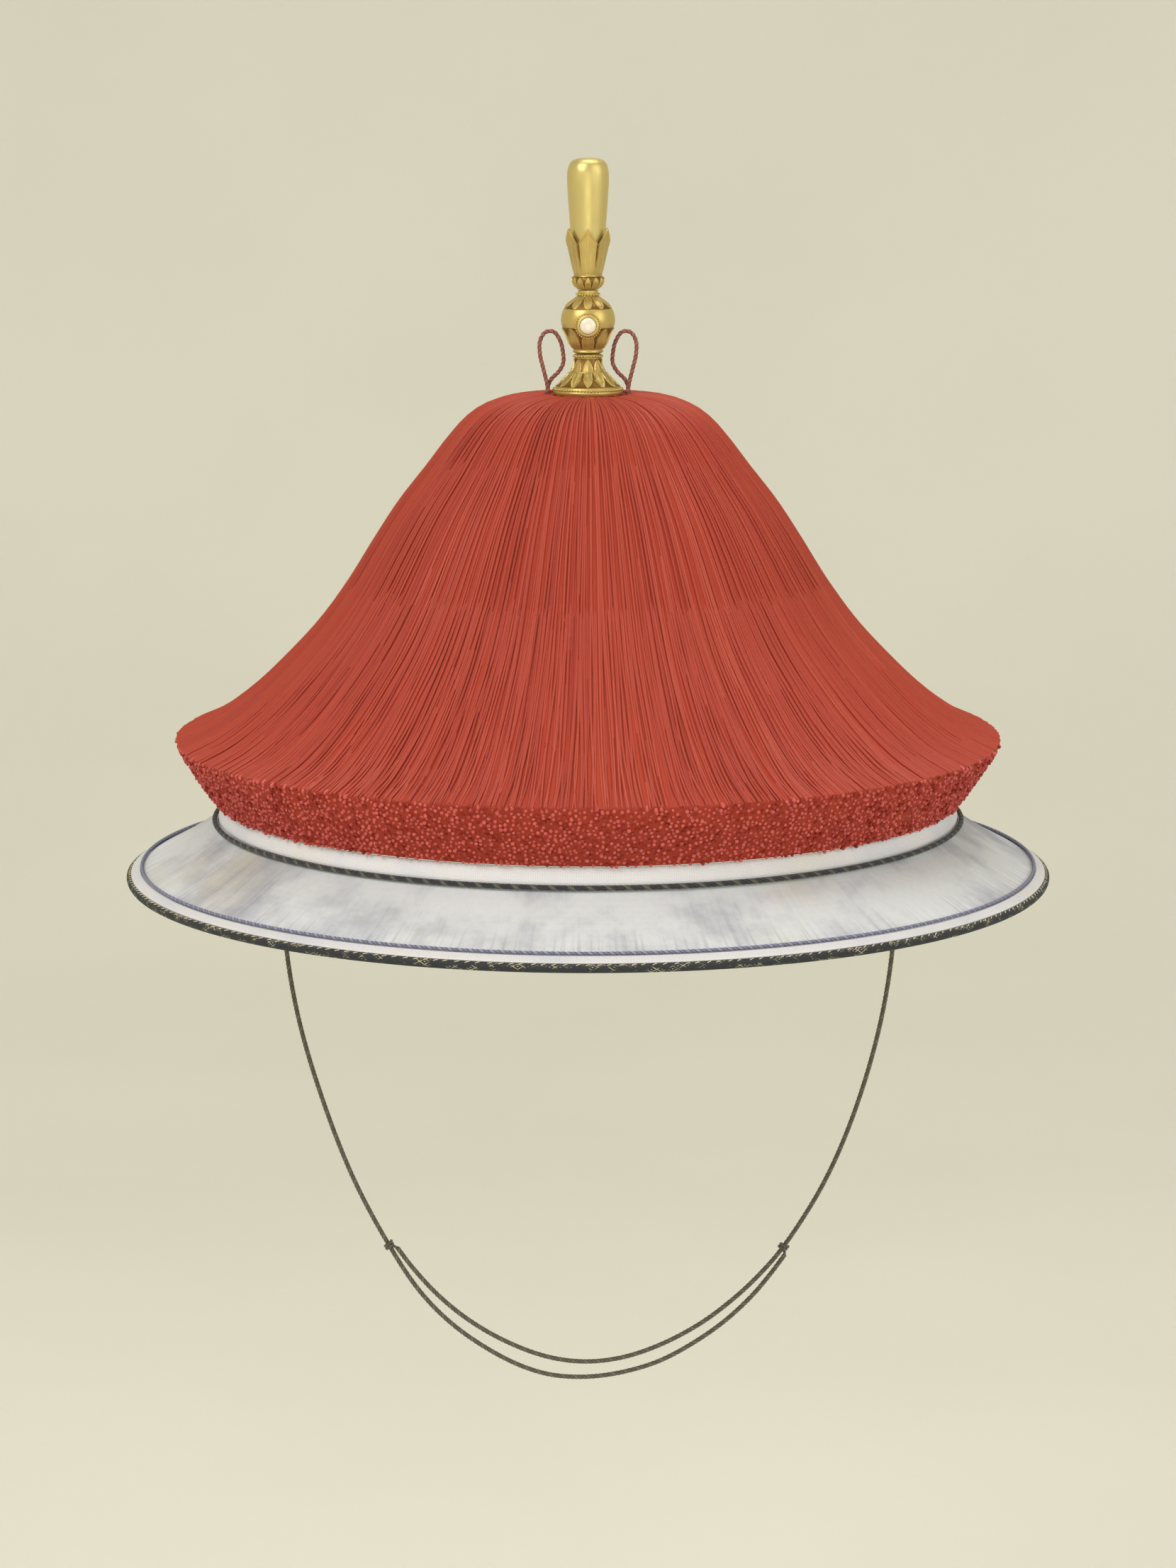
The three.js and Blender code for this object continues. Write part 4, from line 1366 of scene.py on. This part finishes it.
class COURTHAT_OT_finial(HatOperator, Operator):
    """Make the gilt finial: its base, bulb, crystal, petal cup, gold tip and post"""

    bl_idname = "court_hat.finial"
    bl_label = "Finial"

    columns = 192

    def execute(self, context):
        colours = self.colours
        gilt = gilding("Worked gilt", colours.gilt, colours.gilt_hollow_shade, relief=True)
        self.base(gilt)
        self.bulb(gilt)
        self.cup(gilt)
        self.tip(gilding("Smooth gold", colours.gold, colours.gilt, mark_scale=500.0, mark_depth=0.06))
        self.crystal(stone(colours))
        self.post(gilding("Turned brass", colours.post, paint(60, 46, 30)))
        return {"FINISHED"}

    def worked(self, name, rows, petals, finish, count, node):
        """A turned piece with rings of petals: (low, high, count, depth, up) for each ring."""
        line = smooth_line(section(rows, FINIAL_FOOT), count)
        bore = np.array([(BORE_RADIUS * MM, line[-1, 1]), (BORE_RADIUS * MM, line[0, 1])])

        def carve(angle, row, radius, height):
            relief = np.full(radius.shape, PLAIN_RELIEF)
            push = np.zeros(radius.shape)
            for low, high, number, depth, up in petals:
                share = (height - level(FINIAL_FOOT + low)) / ((high - low) * MM)
                share = share if up else 1 - share
                ring = (share >= 0) & (share <= 1) & (row < len(line))
                raised = petal(angle, number, share)
                relief = np.where(ring, raised, relief)
                push = np.where(ring, (raised - 0.4) * depth * MM, push)
            return radius + push, height, relief

        piece = turned(name, np.vstack([line, bore]), self.columns, carve=carve, sharp=50)
        keep(piece, "gilt", node, finish=finish)

    def beads(self, name, radius, height, size, count, finish):
        """A ring of small gilt beads round the finial."""
        piece = bead(name, (radius * MM, 0, level(FINIAL_FOOT + height)), size * MM)
        grow(piece, ring_of_pieces(), Count=count, Unevenness=0.0, Seed=1, Material=finish)
        keep(piece, "gilt")

    def base(self, finish):
        rows = [
            (11.0, 0.0), (11.15, 0.5), (11.15, 1.1), (10.7, 1.7), (10.2, 2.5), (9.2, 3.2),
            (7.9, 4.7), (6.6, 6.0), (5.4, 7.6), (4.7, 9.2), (4.3, 11.0), (4.2, 12.7),
        ]
        petals = [(2.5, 7.0, 12, 0.9, False), (7.4, 11.4, 8, 0.5, True)]
        self.worked("finial_base_petals", rows, petals, finish, 110, "finial_base")
        self.beads("base_beads", 10.9, 1.7, 0.42, 64, finish)
        self.beads("stem_beads", 4.45, 12.1, 0.45, 28, finish)

    def bulb(self, finish):
        rows = [
            (4.0, 13.0), (4.9, 13.5), (4.7, 14.1), (5.2, 15.0), (6.0, 16.2), (7.2, 19.2), (8.3, 21.6),
            (8.65, 23.4), (8.3, 25.8), (7.2, 28.0), (5.6, 29.5), (4.0, 30.6), (3.3, 31.4), (3.2, 33.0),
        ]
        petals = [(14.6, 21.2, 8, 0.8, True), (27.2, 31.0, 10, 0.35, False)]
        self.worked("finial_bulb_petals", rows, petals, finish, 130, "finial_bulb")
        self.beads("neck_beads", 3.55, 31.7, 0.4, 24, finish)
        self.bezel(finish)

    def bezel(self, finish):
        """The collar that holds the crystal, with a beaded edge."""
        inner, outer = CRYSTAL_RADIUS + 0.04, CRYSTAL_RADIUS + GAP + BEZEL_WALL
        flange = outer * 1.12
        low, high = CRYSTAL_SEAT - 2, CRYSTAL_RIM
        line = MM * np.array([
            (flange, low), (flange, high - 0.9), (outer, high - 0.6), (outer, high - 0.1),
            (outer - 0.2, high + 0.1), (inner + 0.1, high + 0.15), (inner, high - 0.1), (inner, low),
        ])
        piece = turned("crystal_bezel", line, 64, sharp=50)
        self.face_front(piece)
        store_relief(piece, BEZEL_RELIEF)
        keep(piece, "gilt", finish=finish)
        beads = bead("bezel_beads", (flange * MM, 0, (high - 0.75) * MM), 0.34 * MM)
        grow(beads, ring_of_pieces(), Count=30, Unevenness=0.0, Seed=1, Material=finish)
        self.face_front(beads)
        keep(beads, "gilt")

    @staticmethod
    def face_front(piece):
        """Turn a piece made on the Z axis to face -Y at the crystal's height."""
        for point in piece.data.vertices:
            x, y, z = point.co
            point.co = (x, -z, y + level(FINIAL_FOOT + CRYSTAL_HEIGHT))

    def crystal(self, finish):
        rise = CRYSTAL_CROWN - CRYSTAL_RIM
        dome = [
            (CRYSTAL_RADIUS * math.cos(lean), CRYSTAL_RIM + rise * math.sin(lean))
            for lean in np.linspace(0, math.pi / 2, 14)
        ]
        rows = [(0.0, CRYSTAL_SEAT), (CRYSTAL_RADIUS, CRYSTAL_SEAT), *dome[:-1], (0.0, CRYSTAL_CROWN)]
        piece = turned("crystal_cabochon", np.array(rows) * MM, 64, closed=False)
        self.face_front(piece)
        keep(piece, "crystal", "crystal", finish=finish)

    def cup(self, finish):
        """A cup of six pointed petals with ribs and raised rims, over a foot of small petals."""
        rows = [(3.4, 33.3), (4.1, 34.1), (4.95, 35.4), (5.1, 36.2), (4.9, 37.0), (4.5, 37.6), (4.55, 38.4)]
        foot = smooth_line(section(rows, FINIAL_FOOT), 40)
        wall_foot, wall_height = level(FINIAL_FOOT + 38.4), 14.0 * MM
        leaf_foot, leaf_height = level(FINIAL_FOOT + 33.9), 3.4 * MM
        rise = np.linspace(0, 1, 60)[1:]
        wall = np.stack([(4.55 + 2.3 * rise**0.85) * MM, wall_foot + wall_height * rise], axis=1)
        inside = wall[::-1] - np.array([0.5 * MM, 0])
        inside = inside[inside[:, 1] > level(FINIAL_FOOT + 39.4)]
        floor = section([(4.3, 39.2), (BORE_RADIUS, 39.2), (BORE_RADIUS, rows[0][1])], FINIAL_FOOT)
        first = len(foot)
        middle, last = first + len(wall), first + len(wall) + len(inside)

        def carve(angle, row, radius, height):
            across = from_middle(angle, 6)
            share = np.clip((height - wall_foot) / wall_height, 0, 1)
            on_wall, outer = (row >= first) & (row < last), (row >= first) & (row < middle)
            lowered = wall_foot + share * (1 - 0.34 * across**0.9) * wall_height
            # Relief, which pushes the wall and sets the gilding's painted shade: low on the lines between
            # petals
            lined = hump(across - 0.93, 0.06) * np.clip(share * 1.6, 0, 1)
            relief = 0.62 - 0.75 * lined + 0.35 * hump(across, 0.09) + 0.4 * hump(1 - share, 0.06)
            relief = np.clip(relief, 0, 1)
            leaf = petal(angle, 12, (height - leaf_foot) / leaf_height)
            on_leaf = (row < first) & (height > leaf_foot) & (height < leaf_foot + leaf_height)
            push = np.where(outer, (relief - 0.62) * 0.55 * MM, 0)
            push += np.where(on_leaf, (leaf - 0.4) * 0.6 * MM, 0)
            flare = np.where(on_wall, 0.35 * MM * share**3 * (1 - across), 0)
            relief = np.where(outer, relief, np.where(on_leaf, leaf, 0.5))
            return radius + push + flare, np.where(on_wall, lowered, height), relief

        outline = np.vstack([foot, wall, inside, floor])
        piece = turned("petal_cup_worked", outline, self.columns, carve=carve, sharp=50)
        keep(piece, "gilt", "petal_cup", finish=finish)

    def tip(self, finish):
        rows = [
            (3.9, 39.5), (5.2, 48.0), (6.0, 57.0), (6.45, 63.5), (6.65, 68.5),
            (6.4, 71.2), (5.6, 73.2), (4.0, 74.25), (2.0, 74.55), (0.0, 74.6),
        ]
        line = smooth_line(section(rows, FINIAL_FOOT), 100)
        line[-1, 0] = 0
        top, foot = POST_TOP + GAP, rows[0][1]
        bored = section([(0, top), (BORE_RADIUS, top), (BORE_RADIUS, foot)], FINIAL_FOOT)
        piece = turned("gold_tip_smooth", np.vstack([bored, line]), 96, closed=False)
        keep(piece, "gold", "gold_tip", finish=finish)

    def post(self, finish):
        """The hidden rod, its nut with rounded edges, and the stub below."""
        nut_top = CROWN_TOP - STRAW_WALL - GAP - FINIAL_FOOT
        nut_foot = nut_top - POST_NUT_HEIGHT
        stub = nut_foot - POST_STUB_LENGTH
        rows = [
            (0, stub), (POST_STUB - 0.4, stub), (POST_STUB, stub + 0.4), (POST_STUB, nut_foot),
            (POST_NUT - 0.4, nut_foot), (POST_NUT, nut_foot + 0.4), (POST_NUT, nut_top - 0.3),
            (POST_NUT - 0.3, nut_top), (POST_ROD, nut_top), (POST_ROD, POST_TOP - 0.5),
            (POST_ROD - 0.5, POST_TOP), (0, POST_TOP),
        ]
        piece = turned("finial_post_turned", section(rows, FINIAL_FOOT), 48, closed=False)
        keep(piece, "post", "finial_post", finish=finish)


class COURTHAT_OT_loops(HatOperator, Operator):
    """Make the two red cord loops beside the finial"""

    bl_idname = "court_hat.loops"
    bl_label = "Cord loops"

    def execute(self, context):
        colours = self.colours
        finish = twisted("Red cord", colours.loop_cord, paint(186, 122, 102), 0.4, 2)
        for side, sign in (("left", -1), ("right", 1)):
            route = [(sign * x * MM, y * MM, level(height)) for x, y, height in LOOP_ROUTE]
            path = smooth_line(route, 220)
            radius = self.sizes.loop_cord / 2
            piece = rope(f"cord_loop_{side}_twist", path, radius, 2, LOOP_PITCH * MM, 0.25, (0, 1, 0))
            keep(piece, "red_cord", f"cord_loop_{side}", finish=finish)
        return {"FINISHED"}


class COURTHAT_OT_tabs(HatOperator, Operator):
    """Make the tabs inside the crown that the chin cord hangs from"""

    bl_idname = "court_hat.tabs"
    bl_label = "Cord tabs"

    def execute(self, context):
        finish = ribbed_silk(self.colours, "White tab silk")
        for side in ("left", "right"):
            piece = self.block(f"cord_tab_{side}_sewn", side)
            keep(piece, "white_silk", f"cord_tab_{side}", finish=finish)
        return {"FINISHED"}

    @staticmethod
    def block(name, side):
        """The tab's solid with its corners softened."""
        mesh = bpy.data.objects[f"cord_tab_{side}"].data.copy()
        mesh.name = name
        made = bmesh.new()
        made.from_mesh(mesh)
        bmesh.ops.remove_doubles(made, verts=made.verts, dist=1e-6)
        bmesh.ops.recalc_face_normals(made, faces=made.faces)
        bmesh.ops.dissolve_limit(made, angle_limit=0.02, verts=made.verts, edges=made.edges)
        bmesh.ops.bevel(
            made, geom=list(made.edges), offset=0.35 * MM, segments=3, affect="EDGES", profile=0.5,
        )
        layer = made.loops.layers.uv.new("UVMap")
        for face in made.faces:
            for corner in face.loops:
                _, y, z = corner.vert.co
                corner[layer].uv = (y / TAB_LAP, z)
        made.to_mesh(mesh)
        made.free()
        mesh.materials.clear()
        mesh.shade_smooth()
        mesh.set_sharp_from_angle(angle=math.radians(60))
        return link(name, mesh)


class COURTHAT_PT_sidebar(Panel):
    """Lists the sizes, the colours and the pieces"""

    bl_label = "Court hat"
    bl_idname = "COURTHAT_PT_sidebar"
    bl_space_type = "VIEW_3D"
    bl_region_type = "UI"
    bl_category = "Court hat"

    def draw(self, context):
        column = self.layout.column(align=True)
        for operator in OPERATORS:
            column.operator(operator.bl_idname)
        for title, group in (
            ("Sizes", context.scene.court_hat_sizes),
            ("Colours", context.scene.court_hat_colours),
        ):
            box = self.layout.box()
            box.label(text=title)
            for key in group.__annotations__:
                box.prop(group, key)


OPERATORS = (
    COURTHAT_OT_stage,
    COURTHAT_OT_chin_cord,
    COURTHAT_OT_straw,
    COURTHAT_OT_trim,
    COURTHAT_OT_fringe,
    COURTHAT_OT_finial,
    COURTHAT_OT_loops,
    COURTHAT_OT_tabs,
)
CLASSES = (HatSizes, HatColours, *OPERATORS, COURTHAT_PT_sidebar)


def register():
    for made in CLASSES:
        bpy.utils.register_class(made)
    bpy.types.Scene.court_hat_sizes = PointerProperty(type=HatSizes)
    bpy.types.Scene.court_hat_colours = PointerProperty(type=HatColours)


def unregister():
    del bpy.types.Scene.court_hat_colours
    del bpy.types.Scene.court_hat_sizes
    for made in reversed(CLASSES):
        bpy.utils.unregister_class(made)


def main():
    register()
    bpy.ops.court_hat.stage()
    bpy.ops.court_hat.chin_cord()
    bpy.ops.court_hat.straw()
    bpy.ops.court_hat.trim()
    bpy.ops.court_hat.fringe()
    bpy.ops.court_hat.finial()
    bpy.ops.court_hat.loops()
    bpy.ops.court_hat.tabs()


if __name__ == "__main__":
    main()
